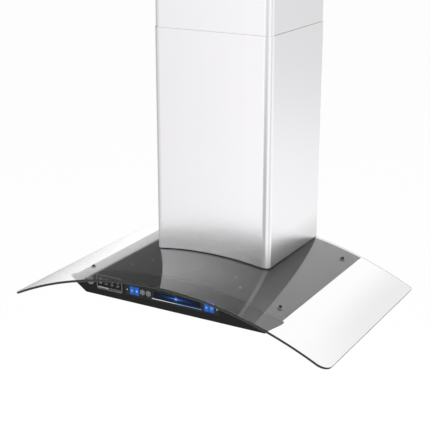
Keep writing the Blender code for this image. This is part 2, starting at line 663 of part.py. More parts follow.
def make_upper_bracket():
    """A strip bent into a shallow U: its middle lies on the wall and its arms hold the upper cover."""
    half = COVER_INSIDE_HALF - GAP
    path = [(-half, -BRACKET_ARM), (-half, 0), (half, 0), (half, -BRACKET_ARM)]
    top = UPPER_TOP_Z - BRACKET_FROM_TOP
    bracket = extrude("upper_wall_bracket", strip(path, -BRACKET_SHEET), "Z", top - BRACKET_HEIGHT, top, ZINC)
    screw_z = top - BRACKET_HEIGHT / 2
    hole = BRACKET_SCREW_RADIUS / 2 + GAP
    cut(bracket, rod("hole", hole, (-CHIMNEY_WIDTH, -BRACKET_ARM / 2, screw_z),
                     (CHIMNEY_WIDTH, -BRACKET_ARM / 2, screw_z), steps=16))
    head = [(0, 0.0022), (0.6 * BRACKET_SCREW_RADIUS, 0.0018), (BRACKET_SCREW_RADIUS, GAP)]
    shank = BRACKET_SCREW_RADIUS / 2
    length = CHIMNEY_SHEET + BRACKET_SHEET + 2 * BRACKET_SHEET
    profile = head + [(shank, GAP), (shank, -length), (0, -length)]
    outer_face = CHIMNEY_HALF - UPPER_INSET
    for side, sign in SIDES:
        point = Vector((sign * outer_face, -BRACKET_ARM / 2, screw_z))
        turn(f"bracket_screw_{side}", profile, point, (sign, 0, 0), BRIGHT_STEEL, steps=16)


def make_cover_clips():
    """Z-shaped strips that tie the lower cover's sides to the blower box."""
    inner, outer = BLOWER_HALF + GAP, CHIMNEY_HALF - CHIMNEY_SHEET - GAP
    low = GLASS_TOP_Z + CLIP_HEIGHT
    middle = (BLOWER_FRONT_Y + BLOWER_REAR_Y) / 2
    for side, sign in SIDES:
        inner_face = sign * inner + sign * BRACKET_SHEET
        path = [(inner_face, low - CLIP_LEG), (inner_face, low),
                (sign * outer, low), (sign * outer, low + CLIP_LEG)]
        outline = strip(path, sign * BRACKET_SHEET)
        extrude(f"cover_clip_{side}", outline, "Y", middle - CLIP_WIDTH / 2, middle + CLIP_WIDTH / 2, ZINC)


# ---------------------------------------------------------------- blower

def make_blower_box():
    low, high = (-BLOWER_HALF, BLOWER_FRONT_Y, UNDERSIDE_Z), (BLOWER_HALF, BLOWER_REAR_Y, BLOWER_TOP_Z)
    blower = box("blower_box", low, high, ZINC)
    wall = BODY_SHEET
    cavity = box("cavity", (low[0] + wall, low[1] + wall, low[2] - wall),
                 (high[0] - wall, high[1] - wall, high[2] - wall))
    outlet_low, outlet_high = COLLAR_BASE - UP * 4 * wall, COLLAR_BASE + UP * wall
    outlet = rod("outlet", COLLAR_INNER_RADIUS, outlet_low, outlet_high, steps=48)
    cut(blower, cavity, below_arc(BODY_ARC_RADIUS + GAP), outlet)


def scroll_outline(top):
    """(y, z) outline of the scroll's inside: a spiral that opens into a mouth facing up."""
    first, last = SCROLL_TONGUE_ANGLE, math.tau
    steps = 40
    outline = []
    for step in range(steps + 1):
        share = step / steps
        angle = first + (last - first) * share
        radius = SCROLL_START_RADIUS + (SCROLL_END_RADIUS - SCROLL_START_RADIUS) * share
        outline.append((AXLE.y + radius * math.cos(angle), AXLE.z + radius * math.sin(angle)))
    return outline + [(AXLE.y + SCROLL_END_RADIUS, top), (AXLE.y - SCROLL_MOUTH, top)]


def make_scroll():
    inside = scroll_outline(SCROLL_TOP_Z)
    outside = offset_path(inside, -SCROLL_WALL, closed=True)
    scroll = extrude("blower_scroll", outside, "X", -SCROLL_HALF, SCROLL_HALF, BLACK_PLASTIC)
    hollow_half = SCROLL_HALF - SCROLL_WALL
    hollow = extrude("hollow", scroll_outline(SCROLL_TOP_Z + 2 * SCROLL_WALL), "X", -hollow_half, hollow_half)
    above = box("above", (-1, -1, SCROLL_TOP_Z), (1, 1, BLOWER_TOP_Z + SCROLL_WALL))
    reach = Vector((2 * SCROLL_HALF, 0, 0))
    cut(scroll, hollow, above, rod("inlets", INLET_RADIUS, AXLE - reach, AXLE + reach, steps=48))


def impeller_blades(length):
    """Forward-curved blades about the axle, as separate strips in one mesh."""
    outer, inner = IMPELLER_RADIUS - 0.0005, IMPELLER_RADIUS - BLADE_DEPTH + 0.0005
    middle = (outer + inner) / 2
    mesh = bmesh.new()
    for number in range(BLADE_COUNT):
        start = math.tau * number / BLADE_COUNT
        places = ((inner, 0.0), (middle, 0.045), (outer, 0.125))
        path = [(radius * math.cos(start + lead), radius * math.sin(start + lead)) for radius, lead in places]
        outline = strip(path, BLADE_THICKNESS)
        ends = [[mesh.verts.new((x, AXLE.y + a, AXLE.z + b)) for a, b in outline] for x in (-length, length)]
        mesh.faces.new(ends[0])
        mesh.faces.new(ends[1][::-1])
        for index in range(len(outline)):
            following = (index + 1) % len(outline)
            mesh.faces.new((ends[0][index], ends[0][following], ends[1][following], ends[1][index]))
    return make_object("blades", mesh)


def make_impeller():
    inner = IMPELLER_RADIUS - BLADE_DEPTH
    axis = (1, 0, 0)
    bore = SHAFT_RADIUS + GAP
    disc_half = 0.001
    hub_half = HUB_LENGTH / 2
    disc = [(bore, hub_half), (HUB_RADIUS, hub_half),
            (HUB_RADIUS, disc_half), (IMPELLER_RADIUS, disc_half),
            (IMPELLER_RADIUS, -disc_half), (HUB_RADIUS, -disc_half),
            (HUB_RADIUS, -hub_half), (bore, -hub_half)]
    impeller = turn("impeller", disc, AXLE, axis, BLACK_PLASTIC, steps=40)
    join(impeller, impeller_blades(IMPELLER_HALF - RING_THICKNESS / 2))
    for end in (-IMPELLER_HALF, IMPELLER_HALF - RING_THICKNESS):
        ring = [(IMPELLER_RADIUS, end), (IMPELLER_RADIUS, end + RING_THICKNESS),
                (inner, end + RING_THICKNESS), (inner, end)]
        join(impeller, turn("ring", ring, AXLE, axis, steps=40))
    put_origin(impeller, AXLE)


def make_motor():
    front, back = MOTOR_START, SCROLL_HALF
    edge = 0.004
    bore = SHAFT_RADIUS + SHAFT_CLEARANCE
    bore_end = front + MOTOR_BORE_DEPTH
    profile = [(0, bore_end), (bore, bore_end), (bore, front), (0.35 * MOTOR_RADIUS, front),
               (0.4 * MOTOR_RADIUS, front + edge), (MOTOR_RADIUS - edge, front + edge),
               (MOTOR_RADIUS, front + 2 * edge), (MOTOR_RADIUS, back - edge),
               (MOTOR_RADIUS - edge, back), (0, back)]
    turn("motor", profile, AXLE, (1, 0, 0), ALUMINIUM, steps=40)
    tip = -HUB_LENGTH / 2 - SHAFT_TIP
    shaft_end = bore_end - SHAFT_TIP / 4
    shaft_from, shaft_to = AXLE + Vector((tip, 0, 0)), AXLE + Vector((shaft_end, 0, 0))
    shaft = rod("motor_shaft", SHAFT_RADIUS, shaft_from, shaft_to, BRIGHT_STEEL)
    put_origin(shaft, AXLE)
    nut_start = -HUB_LENGTH / 2 - GAP
    outline = arc((AXLE.y, AXLE.z), NUT_RADIUS, 0, 360, 6)[:-1]
    nut = extrude("impeller_nut", outline, "X", nut_start - NUT_THICKNESS, nut_start, BRIGHT_STEEL)
    reach = Vector((HUB_LENGTH, 0, 0))
    cut(nut, rod("bore", SHAFT_RADIUS + GAP, AXLE - reach, AXLE + reach))
    put_origin(nut, AXLE)


def make_motor_bracket():
    """A three-armed spider that carries the motor on the scroll's right inlet."""
    inner, outer = SCROLL_HALF + GAP, SCROLL_HALF + GAP + MOTOR_BRACKET_SHEET
    hub_radius = 0.75 * MOTOR_RADIUS
    hub = [(0, outer), (hub_radius, outer), (hub_radius, inner), (0, inner)]
    bracket = turn("motor_bracket", hub, AXLE, (1, 0, 0), ZINC, steps=32)
    half, reach = MOTOR_ARM_WIDTH / 2, INLET_RADIUS + MOTOR_ARM_LAP
    for turned in (90, 210, 330):
        angle = math.radians(turned)
        along = Vector((math.cos(angle), math.sin(angle)))
        across = Vector((-math.sin(angle), math.cos(angle)))
        centre = Vector((AXLE.y, AXLE.z))
        corners = ((0, -half), (reach, -half), (reach, half), (0, half))
        outline = [tuple(centre + along * a + across * b) for a, b in corners]
        join(bracket, extrude("arm", outline, "X", inner, outer))
    bracket.data.set_sharp_from_angle(angle=math.radians(30))


# ---------------------------------------------------------------- duct collar and flaps

def make_collar():
    outer, inner = COLLAR_OUTER_RADIUS, COLLAR_INNER_RADIUS
    flange, base = outer + COLLAR_FLANGE, COLLAR_FLANGE_THICKNESS
    ledge_top = FLAP_HEIGHT - FLAP_THICKNESS / 2 - GAP
    ledge = inner - FLAP_CLEARANCE - FLAP_LEDGE
    profile = [(outer, COLLAR_HEIGHT), (outer, base), (flange, base), (flange, 0),
               (inner, 0), (inner, ledge_top - base), (ledge, ledge_top - base / 2),
               (ledge, ledge_top), (inner, ledge_top), (inner, COLLAR_HEIGHT)]
    collar = turn("duct_collar", profile, COLLAR_BASE, UP, BLACK_PLASTIC, steps=48)
    reach = Vector((0, 2 * outer, 0))
    cut(collar, rod("pin_holes", PIN_RADIUS + GAP, PIN_CENTRE - reach, PIN_CENTRE + reach, steps=16))
    half = Vector((0, outer - COLLAR_WALL / 2, 0))
    rod("damper_pin", PIN_RADIUS, PIN_CENTRE - half, PIN_CENTRE + half, BRIGHT_STEEL, steps=16)


def make_flaps():
    """Two half-round flaps whose knuckles share the pin across the collar."""
    radius = COLLAR_INNER_RADIUS - FLAP_CLEARANCE
    edge = KNUCKLE_RADIUS + 0.0005
    lean = math.degrees(math.asin(edge / radius))
    low, high = PIN_CENTRE.z - FLAP_THICKNESS / 2, PIN_CENTRE.z + FLAP_THICKNESS / 2
    centre = (PIN_CENTRE.x, PIN_CENTRE.y)
    for side, sign in SIDES:
        middle = 180 if sign < 0 else 0
        outline = arc(centre, radius, middle - 90 + lean, middle + 90 - lean, 24)
        flap = extrude(f"damper_flap_{side}", outline, "Z", low, high, ALUMINIUM)
        for first in (-2, 0) if sign < 0 else (-1, 1):
            start = PIN_CENTRE.y + first * KNUCKLE_LENGTH + GAP
            end = start + KNUCKLE_LENGTH - 2 * GAP
            reach = sorted((PIN_CENTRE.x + sign * PIN_RADIUS, PIN_CENTRE.x + sign * (edge + KNUCKLE_RADIUS)))
            leaf = box("leaf", (reach[0], start, low), (reach[1], end, high))
            knuckle = rod("knuckle", KNUCKLE_RADIUS, (PIN_CENTRE.x, start, PIN_CENTRE.z),
                          (PIN_CENTRE.x, end, PIN_CENTRE.z), steps=16)
            join(flap, leaf, knuckle)
        along = Vector((0, radius, 0))
        cut(flap, rod("bore", PIN_RADIUS + GAP, PIN_CENTRE - along, PIN_CENTRE + along, steps=16))
        put_origin(flap, PIN_CENTRE)


# ---------------------------------------------------------------- filters and lamps

def baffle_outline(centre, low, opens_up):
    """(x, z) section of one folded baffle: a shallow channel."""
    half = BAFFLE_WIDTH / 2
    high = low + BAFFLE_HEIGHT
    if opens_up:
        path = [(centre - half, high), (centre - half, low), (centre + half, low), (centre + half, high)]
    else:
        path = [(centre + half, low), (centre + half, high), (centre - half, high), (centre - half, low)]
    return strip(path, BAFFLE_SHEET)


def make_filter(side, sign):
    """A frame of folded steel round two layers of baffles, with a spring latch in its front bar."""
    near, far = FILTER_CLEARANCE, OPENING_HALF_WIDTH - FILTER_CLEARANCE
    left, right = sorted((sign * near, sign * far))
    low, high = UNDERSIDE_Z, UNDERSIDE_Z + FILTER_THICKNESS
    front, rear = FILTER_FRONT_Y, FILTER_REAR_Y
    sheet = FILTER_SHEET
    name = f"filter_{side}"
    frame = box(name, (left, front, low), (right, rear, high), STEEL)
    inside = box("inside", (left + sheet, front + sheet, low + sheet),
                 (right - sheet, rear - sheet, high - sheet))
    through = box("through", (left + FILTER_FRAME, front + FILTER_FRONT_BAR, low - sheet),
                  (right - FILTER_FRAME, rear - FILTER_FRAME, high + sheet))
    cut(frame, inside, through)

    baffle_front = front + FILTER_FRONT_BAR - FILTER_FRAME / 2
    baffle_rear = rear - FILTER_FRAME / 2
    count = math.floor((right - left - 2 * FILTER_FRAME) / BAFFLE_PITCH)
    centre = (left + right) / 2
    bite = sheet / 2
    upper_low = high - sheet + bite - BAFFLE_HEIGHT
    layers = ((count, low + sheet - bite, True), (count - 1, upper_low, False))
    for layer, layer_low, opens_up in layers:
        for number in range(layer):
            x = centre + (number - (layer - 1) / 2) * BAFFLE_PITCH
            outline = baffle_outline(x, layer_low, opens_up)
            join(frame, extrude("baffle", outline, "Y", baffle_front, baffle_rear))
    for offset in (-TAB_SPREAD, TAB_SPREAD):
        tab_low = PANEL_TOP_Z + GAP
        x = centre + offset
        join(frame, box("tab", (x - TAB_WIDTH / 2, rear - sheet / 2, tab_low),
                        (x + TAB_WIDTH / 2, rear + TAB_LENGTH, tab_low + BODY_SHEET)))

    body_low = low + sheet + GAP
    latch_front = front + sheet + GAP
    tongue_low = PANEL_TOP_Z + GAP
    tongue_half = LATCH_TONGUE_WIDTH / 2
    tongue_high = tongue_low + LATCH_TONGUE_THICKNESS
    grip_front = latch_front + (LATCH_DEPTH - LATCH_GRIP_DEPTH) / 2
    grip_half = LATCH_WIDTH / 2 - 0.003
    slot_rear = grip_front + LATCH_GRIP_DEPTH + LATCH_TRAVEL + GAP
    slot = box("slot", (centre - grip_half - GAP, grip_front - GAP, low - sheet),
               (centre + grip_half + GAP, slot_rear, low + 1.5 * sheet))
    doorway = box("doorway", (centre - tongue_half - GAP, front - sheet, tongue_low - GAP),
                  (centre + tongue_half + GAP, front + 2 * sheet, tongue_high + GAP))
    cut(frame, slot, doorway)
    put_origin(frame, (centre, FILTER_HINGE.y, FILTER_HINGE.z))

    latch_half = LATCH_WIDTH / 2
    latch = box(f"filter_latch_{side}", (centre - latch_half, latch_front, body_low),
                (centre + latch_half, latch_front + LATCH_DEPTH, body_low + LATCH_HEIGHT), BRIGHT_STEEL)
    tongue = box("tongue", (centre - tongue_half, front, tongue_low),
                 (centre + tongue_half, latch_front + LATCH_DEPTH / 2, tongue_high))
    grip = box("grip", (centre - grip_half, grip_front, low - LATCH_GRIP_DROP),
               (centre + grip_half, grip_front + LATCH_GRIP_DEPTH, body_low + LATCH_HEIGHT / 2))
    join(latch, tongue, grip)
    put_origin(latch, (centre, latch_front, body_low))


def make_lamp(side, sign):
    """A round LED lamp: a can with a flange under the panel, and the lens in its mouth."""
    base = Vector((sign * LAMP_X, LAMP_Y, UNDERSIDE_Z))
    outer, wall = LAMP_RADIUS, LAMP_WALL
    flange_top, flange_low = -GAP, -GAP - wall
    lens_radius = outer - 2 * wall
    seat = flange_low + LENS_THICKNESS + GAP
    profile = [(0, LAMP_HEIGHT), (outer, LAMP_HEIGHT), (outer, flange_top), (LAMP_FLANGE_RADIUS, flange_top),
               (LAMP_FLANGE_RADIUS, flange_low), (lens_radius + GAP, flange_low), (lens_radius + GAP, seat),
               (lens_radius - wall, seat), (lens_radius - wall, LAMP_HEIGHT - wall), (0, LAMP_HEIGHT - wall)]
    turn(f"lamp_housing_{side}", profile, base, UP, STEEL, steps=32)
    lens_low = base + UP * flange_low
    rod(f"lamp_lens_{side}", lens_radius, lens_low, lens_low + UP * LENS_THICKNESS, LAMP_WHITE, steps=32)


# ---------------------------------------------------------------- electrical parts

def make_electrics():
    width, depth, height = JUNCTION_BOX_SIZE
    back = -BACK_PANEL_THICKNESS - GAP
    left, right = JUNCTION_BOX_X - width / 2, JUNCTION_BOX_X + width / 2
    low = PANEL_TOP_Z + GAP + BODY_SHEET
    wall = JUNCTION_BOX_WALL
    lid_front = back - depth
    front = lid_front + wall + GAP
    tray = box("junction_box", (left, front, low), (right, back, low + height), BLACK_PLASTIC)
    cut(tray, box("inside", (left + wall, front - wall, low + wall),
                  (right - wall, back - wall, low + height - wall)))
    box("junction_box_lid", (left, lid_front, low), (right, lid_front + wall, low + height), WHITE_PLASTIC)

    top = BLOWER_TOP_Z + GAP
    y = BLOWER_FRONT_Y + CORNER_INSET
    x = BLOWER_HALF - CORNER_INSET
    radius, edge = CAPACITOR_RADIUS, 0.0015
    can = [(0, CAPACITOR_HEIGHT), (radius - edge, CAPACITOR_HEIGHT),
           (radius, CAPACITOR_HEIGHT - edge), (radius, 0), (0, 0)]
    turn("motor_capacitor", can, (-x, y, top), UP, WHITE_PLASTIC, steps=28)
    thread, nut = 0.65 * GLAND_RADIUS, GLAND_RADIUS
    gland = [(thread, 0.026), (0.85 * nut, 0.020), (0.85 * nut, 0.008), (nut, 0.007),
             (nut, 0), (0.45 * nut, 0), (0.45 * nut, 0.026)]
    turn("cable_gland", gland, (x, y, top), UP, BLACK_PLASTIC, steps=20)


make_glass()
make_glass_fixings()
make_body_shell()
make_back_panel()
make_underside_panel()
make_fascia()
make_control_panel()
make_control_electronics()
make_chimney()
make_chimney_seal()
make_upper_bracket()
make_cover_clips()
make_blower_box()
make_scroll()
make_impeller()
make_motor()
make_motor_bracket()
make_collar()
make_flaps()
for side_name, side_sign in SIDES:
    make_filter(side_name, side_sign)
    make_lamp(side_name, side_sign)
make_electrics()
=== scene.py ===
"""Looks of the wall-mounted chimney hood with a curved glass canopy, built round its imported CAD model."""

import math

import bmesh
import bpy
from mathutils import Matrix, Vector


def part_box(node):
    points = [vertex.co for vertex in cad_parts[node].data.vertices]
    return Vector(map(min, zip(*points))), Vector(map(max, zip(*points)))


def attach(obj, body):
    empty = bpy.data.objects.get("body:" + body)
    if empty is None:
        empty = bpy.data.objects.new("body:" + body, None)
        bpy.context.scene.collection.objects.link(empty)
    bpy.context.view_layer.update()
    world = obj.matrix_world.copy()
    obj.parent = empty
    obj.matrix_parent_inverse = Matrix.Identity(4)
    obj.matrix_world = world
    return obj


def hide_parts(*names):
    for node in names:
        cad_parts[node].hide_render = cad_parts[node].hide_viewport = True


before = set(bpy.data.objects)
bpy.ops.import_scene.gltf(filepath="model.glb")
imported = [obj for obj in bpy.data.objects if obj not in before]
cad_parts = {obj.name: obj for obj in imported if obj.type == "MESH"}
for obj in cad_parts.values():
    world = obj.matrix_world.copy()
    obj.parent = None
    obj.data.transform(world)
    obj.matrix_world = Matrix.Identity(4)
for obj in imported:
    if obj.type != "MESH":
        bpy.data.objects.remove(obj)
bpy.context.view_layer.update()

scene = bpy.context.scene
scene.view_settings.view_transform = "Standard"


# ---------------------------------------------------------------- hood body
# The hood's outer skin: one sheet of 1 mm steel, folded down at both sides from a crown that follows the
# glass, and powder coated black. The blower draws through an opening in the crown.

GLASS_RADIUS = 0.971  # of the canopy's top face, about an axis along Y
GLASS_THICKNESS = 0.006
GLASS_TOP_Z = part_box("glass_canopy")[1].z
ARC_AXIS_Z = GLASS_TOP_Z - GLASS_RADIUS
BODY_RADIUS = GLASS_RADIUS - GLASS_THICKNESS - 0.002  # the glass stands on 2 mm pads
BODY_SHEET = 0.001
BODY_BEND = 0.003
EDGE_ROW = 0.004  # between a sheet's end and its first row of faces
ARC_STEP = math.radians(0.5)
body_low, body_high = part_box("body_shell")
BODY_BOTTOM_HALF = 0.259
UNDERSIDE_Z = body_low.z


def arc_points(radius, first, last, step):
    """(x, z) points along an arc about the canopy's axis, between two x values."""
    start, end = math.asin(first / radius), math.asin(last / radius)
    count = max(1, math.ceil(abs(end - start) / step))
    angles = [start + (end - start) * i / count for i in range(count + 1)]
    return [(radius * math.sin(a), ARC_AXIS_Z + radius * math.cos(a)) for a in angles]


def fillet(path, bends, steps=6, flat=0.0004):
    """A 2-D path whose corners named in bends, {corner number: radius}, are rounded.

    A point just beyond each end of a bend keeps the shading of the flat next to it flat.
    """
    rounded = []
    for number, corner in enumerate(path):
        radius = bends.get(number, 0)
        if not radius:
            rounded.append(tuple(corner))
            continue
        corner = Vector(corner)
        before = (Vector(path[number - 1]) - corner).normalized()
        after = (Vector(path[(number + 1) % len(path)]) - corner).normalized()
        half_angle = before.angle(after) / 2
        tangent = radius / math.tan(half_angle)
        centre = corner + (before + after).normalized() * radius / math.sin(half_angle)
        start, end = corner + before * tangent - centre, corner + after * tangent - centre
        turned = start.angle_signed(end)
        rounded.append(tuple(centre + start + before * flat))
        for step in range(steps + 1):
            rounded.append(tuple(centre + Matrix.Rotation(-turned * step / steps, 2) @ start))
        rounded.append(tuple(centre + end + after * flat))
    return rounded


def offset(path, distance, closed=False):
    """The path moved to its left by distance, with mitred corners."""
    moved = []
    for number, point in enumerate(path):
        point = Vector(point)
        ways = []
        if closed or number > 0:
            ways.append(point - Vector(path[number - 1]))
        if closed or number < len(path) - 1:
            ways.append(Vector(path[(number + 1) % len(path)]) - point)
        lefts = [Vector((-way.y, way.x)).normalized() for way in ways]
        mitre = lefts[0] if len(lefts) == 1 else (lefts[0] + lefts[1]) / (1 + lefts[0].dot(lefts[1]))
        moved.append(tuple(point + mitre * distance))
    return moved


def piece_of(name, mesh, material, sharp=30):
    """An object from a bmesh, with smooth shading that breaks at edges sharper than an angle."""
    bmesh.ops.recalc_face_normals(mesh, faces=mesh.faces)
    data = bpy.data.meshes.new(name)
    mesh.to_mesh(data)
    mesh.free()
    data.shade_smooth()
    data.set_sharp_from_angle(angle=math.radians(sharp))
    data.materials.append(material)
    made = bpy.data.objects.new(name, data)
    scene.collection.objects.link(made)
    return made


def bent_sheet(name, path, thickness, place, levels, material):
    """A sheet that follows a path, with its thickness on the path's left, as long as its levels reach.

    place turns (a, b, level) into a point, and a level is a number or a function of (a, b).
    """
    mesh = bmesh.new()
    sides = []
    for line in (path, offset(path, thickness)):
        rows = []
        for level in levels:
            heights = [level(a, b) if callable(level) else level for a, b in path]
            rows.append([mesh.verts.new(place(a, b, height)) for (a, b), height in zip(line, heights)])
        sides.append(rows)
    outer, inner = sides
    last = len(path) - 1
    for row in range(len(levels) - 1):
        for number in range(last):
            for rows in sides:
                near, far = rows[row], rows[row + 1]
                mesh.faces.new((near[number], near[number + 1], far[number + 1], far[number]))
        for number in (0, last):
            mesh.faces.new((outer[row][number], outer[row + 1][number],
                            inner[row + 1][number], inner[row][number]))
    for row in (0, len(levels) - 1):
        near, far = outer[row], inner[row]
        for number in range(last):
            mesh.faces.new((near[number], near[number + 1], far[number + 1], far[number]))
    return piece_of(name, mesh, material)


def box_tool(low, high):
    mesh = bmesh.new()
    bmesh.ops.create_cube(mesh, size=1)
    low, high = Vector(low), Vector(high)
    bmesh.ops.scale(mesh, vec=high - low, verts=mesh.verts)
    bmesh.ops.translate(mesh, vec=(low + high) / 2, verts=mesh.verts)
    data = bpy.data.meshes.new("tool")
    mesh.to_mesh(data)
    mesh.free()
    tool = bpy.data.objects.new("tool", data)
    scene.collection.objects.link(tool)
    return tool


def cut(piece, *tools, sharp=30):
    """Takes the tools' shapes out of a piece."""
    for tool in tools:
        modifier = piece.modifiers.new("cut", "BOOLEAN")
        modifier.object = tool
        modifier.solver = "EXACT"
        graph = bpy.context.evaluated_depsgraph_get()
        before = piece.data
        piece.data = bpy.data.meshes.new_from_object(piece.evaluated_get(graph))
        piece.modifiers.clear()
        bpy.data.meshes.remove(before)
        bpy.data.objects.remove(tool)
    piece.data.set_sharp_from_angle(angle=math.radians(sharp))
    return piece


class Shade:
    """One value in a node tree: an output socket. Arithmetic on it adds Math nodes."""

    def __init__(self, socket):
        self.socket = socket

    def node(self, kind, settings=None, inputs=None, output=0):
        """Any other node in the same tree: its settings, then the values or links of its sockets."""
        tree = self.socket.id_data
        node = tree.nodes.new(kind)
        for name, value in (settings or {}).items():
            if name == "stops":
                ramp = node.color_ramp
                while len(ramp.elements) < len(value):
                    ramp.elements.new(1)
                for element, (position, colour) in zip(ramp.elements, value):
                    element.position = position
                    element.color = colour
            else:
                setattr(node, name, value)
        for name, value in (inputs or {}).items():
            if isinstance(value, Shade):
                tree.links.new(value.socket, node.inputs[name])
            else:
                node.inputs[name].default_value = value
        return Shade(node.outputs[output])

    def math(self, operation, *values):
        return self.node("ShaderNodeMath", {"operation": operation}, dict(enumerate(values)))

    def __add__(self, other):
        return self.math("ADD", self, other)

    def __sub__(self, other):
        return self.math("SUBTRACT", self, other)

    def __rsub__(self, other):
        return self.math("SUBTRACT", other, self)

    def __mul__(self, other):
        return self.math("MULTIPLY", self, other)

    def __truediv__(self, other):
        return self.math("DIVIDE", self, other)

    def __pow__(self, other):
        return self.math("POWER", self, other)

    def __gt__(self, other):
        return self.math("GREATER_THAN", self, other)

    def __lt__(self, other):
        return self.math("LESS_THAN", self, other)

    __radd__ = __add__
    __rmul__ = __mul__

    def size(self):
        return self.math("ABSOLUTE", self)

    def axis(self, name):
        return self.node("ShaderNodeSeparateXYZ", None, {0: self}, "XYZ".index(name))

    def noise(self, scale, detail=2.0, roughness=0.5):
        """Noise over this place. scale is one number, or one for each axis."""
        scale = [scale] * 3 if isinstance(scale, (int, float)) else scale
        stretched = self.node("ShaderNodeMapping", None, {"Vector": self, "Scale": scale})
        return stretched.node("ShaderNodeTexNoise", None,
                              {"Vector": stretched, "Scale": 1.0, "Detail": detail, "Roughness": roughness})

    def ramp(self, low, high, to_low=0.0, to_high=1.0, smooth=True):
        kind = "SMOOTHSTEP" if smooth else "LINEAR"
        return self.node("ShaderNodeMapRange", {"interpolation_type": kind},
                         {"Value": self, "From Min": low, "From Max": high, "To Min": to_low,
                          "To Max": to_high})

    def mix(self, colour_a, colour_b):
        """A colour between two, by this factor."""
        return self.node("ShaderNodeMix", {"data_type": "RGBA"}, {0: self, 6: colour_a, 7: colour_b}, 2)


def grey(value):
    return (value, value, value, 1)


class Finish:
    """A material on one Principled shader. place is the piece's own coordinates, in metres."""

    def __init__(self, name, **sockets):
        self.material = bpy.data.materials.new(name)
        self.material.use_nodes = True
        self.tree = self.material.node_tree
        self.shader = self.tree.nodes["Principled BSDF"]
        self.place = Shade(self.tree.nodes.new("ShaderNodeTexCoord").outputs["Object"])
        self.set(**sockets)

    def set(self, **sockets):
        for name, value in sockets.items():
            socket = self.shader.inputs[name.replace("_", " ")]
            if isinstance(value, Shade):
                self.tree.links.new(value.socket, socket)
            else:
                socket.default_value = value
        return self

    def mottle(self, scale, dark, light, roughness, spread, detail=2):
        """Colour and roughness that change together over one noise, which it returns."""
        tone = self.place.noise(scale, detail=detail)
        self.set(Base_Color=tone.mix(dark, light), Roughness=roughness + spread * tone)
        return tone

    def bump(self, height, strength, distance):
        """Relief from a height between 0 and 1, which stands for distance in metres."""
        self.set(Normal=height.node("ShaderNodeBump", None, {"Height": height, "Strength": strength,
                                                             "Distance": distance}))
        return self


def settle(piece, body, slot, *nodes):
    """Puts a finished piece on its body, in place of its CAD nodes, which it hides. The slot argument is not
    used.
    """
    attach(piece, body)
    if nodes:
        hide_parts(*nodes)


def coat(finish, *nodes):
    """Gives CAD nodes that stay in view a finish."""
    for name in nodes:
        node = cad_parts[name]
        for slot in node.material_slots:
            slot.link = "OBJECT"
            slot.material = finish.material


body_paint = Finish("black_powder_coat", Specular_IOR_Level=0.27)
pebble = body_paint.place.noise(900, detail=3)
cloud = body_paint.place.noise(9)
body_paint.set(Base_Color=(0.6 * pebble + 0.4 * cloud).mix(grey(0.014), grey(0.030)),
               Roughness=0.36 + 0.14 * pebble)
body_paint.bump(pebble, 0.35, 0.00006)

crown = arc_points(BODY_RADIUS, body_low.x, body_high.x, ARC_STEP)
skin = [(-BODY_BOTTOM_HALF, UNDERSIDE_Z)] + crown + [(BODY_BOTTOM_HALF, UNDERSIDE_Z)]
skin = fillet(skin, {1: BODY_BEND, len(skin) - 2: BODY_BEND})
rows = (body_low.y, body_low.y + EDGE_ROW, body_high.y - EDGE_ROW, body_high.y)
body_shell = bent_sheet("body_skin", skin, -BODY_SHEET, lambda a, b, level: (a, level, b), rows,
                        body_paint.material)
blower_low, blower_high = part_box("blower_box")
INTAKE_MARGIN = 0.016
INTAKE_TOP = GLASS_TOP_Z + 0.1
cut(body_shell, box_tool((blower_low.x + INTAKE_MARGIN, blower_low.y + INTAKE_MARGIN, 0),
                         (blower_high.x - INTAKE_MARGIN, blower_high.y - INTAKE_MARGIN, INTAKE_TOP)))
settle(body_shell, "root", "body_paint", "body_shell")


# ---------------------------------------------------------------- back panel and underside panel
# The back panel is plain galvanised sheet with two keyholes that hang the hood on its wall screws. The
# underside panel is brushed stainless, with its grain across the hood, and holds the filters and lamps.

zinc = Finish("galvanised_sheet", Metallic=1.0)
flake = zinc.place.node("ShaderNodeTexVoronoi", {"feature": "F1"}, {"Vector": zinc.place, "Scale": 70.0}, 1)
flake_tone = flake.node("ShaderNodeSeparateColor", None, {"Color": flake})
zinc.set(Base_Color=flake_tone.mix(grey(0.50), (0.66, 0.67, 0.68, 1)), Roughness=0.34 + 0.16 * flake_tone)
coat(zinc, "back_panel", "blower_box", "cover_clip_left", "cover_clip_right", "motor_bracket",
     "upper_wall_bracket")


def brushed(name, tone, along, gloss=0.24):
    """Brushed stainless steel, with its grain along one axis."""
    finish = Finish(name, Metallic=1.0)
    across, length = 700, 5
    fine = finish.place.noise([length if axis == along else across for axis in "XYZ"], detail=3)
    broad = finish.place.noise([1.5 if axis == along else 90 for axis in "XYZ"], detail=2)
    light = (tone, tone, tone * 1.008, 1)
    dark = (tone * 0.93, tone * 0.93, tone * 0.935, 1)
    finish.set(Base_Color=(0.5 * fine + 0.5 * broad).mix(dark, light), Roughness=gloss + 0.10 * fine)
    return finish.bump(fine, 0.25, 0.00002)


coat(brushed("underside_steel", 0.72, "X"), "underside_panel")


# ---------------------------------------------------------------- front plate
# A shallow tray pressed from 2 mm sheet and enamelled gloss black. It follows the glass above it, stands a
# little wider than the body so that its ears show at both ends, and has a window for the control panel.

FRONT_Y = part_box("front_plate")[0].y
PLATE_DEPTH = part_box("front_plate")[1].y - FRONT_Y
PLATE_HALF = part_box("front_plate")[1].x
PLATE_RADIUS = GLASS_RADIUS - GLASS_THICKNESS - 0.0003
PLATE_BEND = 0.0012
EAR_CORNER = 0.003
PLATE_SHEET = 0.002
PLATE_WALL = 0.0012
PANEL_HALF, PANEL_HEIGHT, PANEL_Z = 0.136, 0.031, -0.0066
GAP = 0.0003


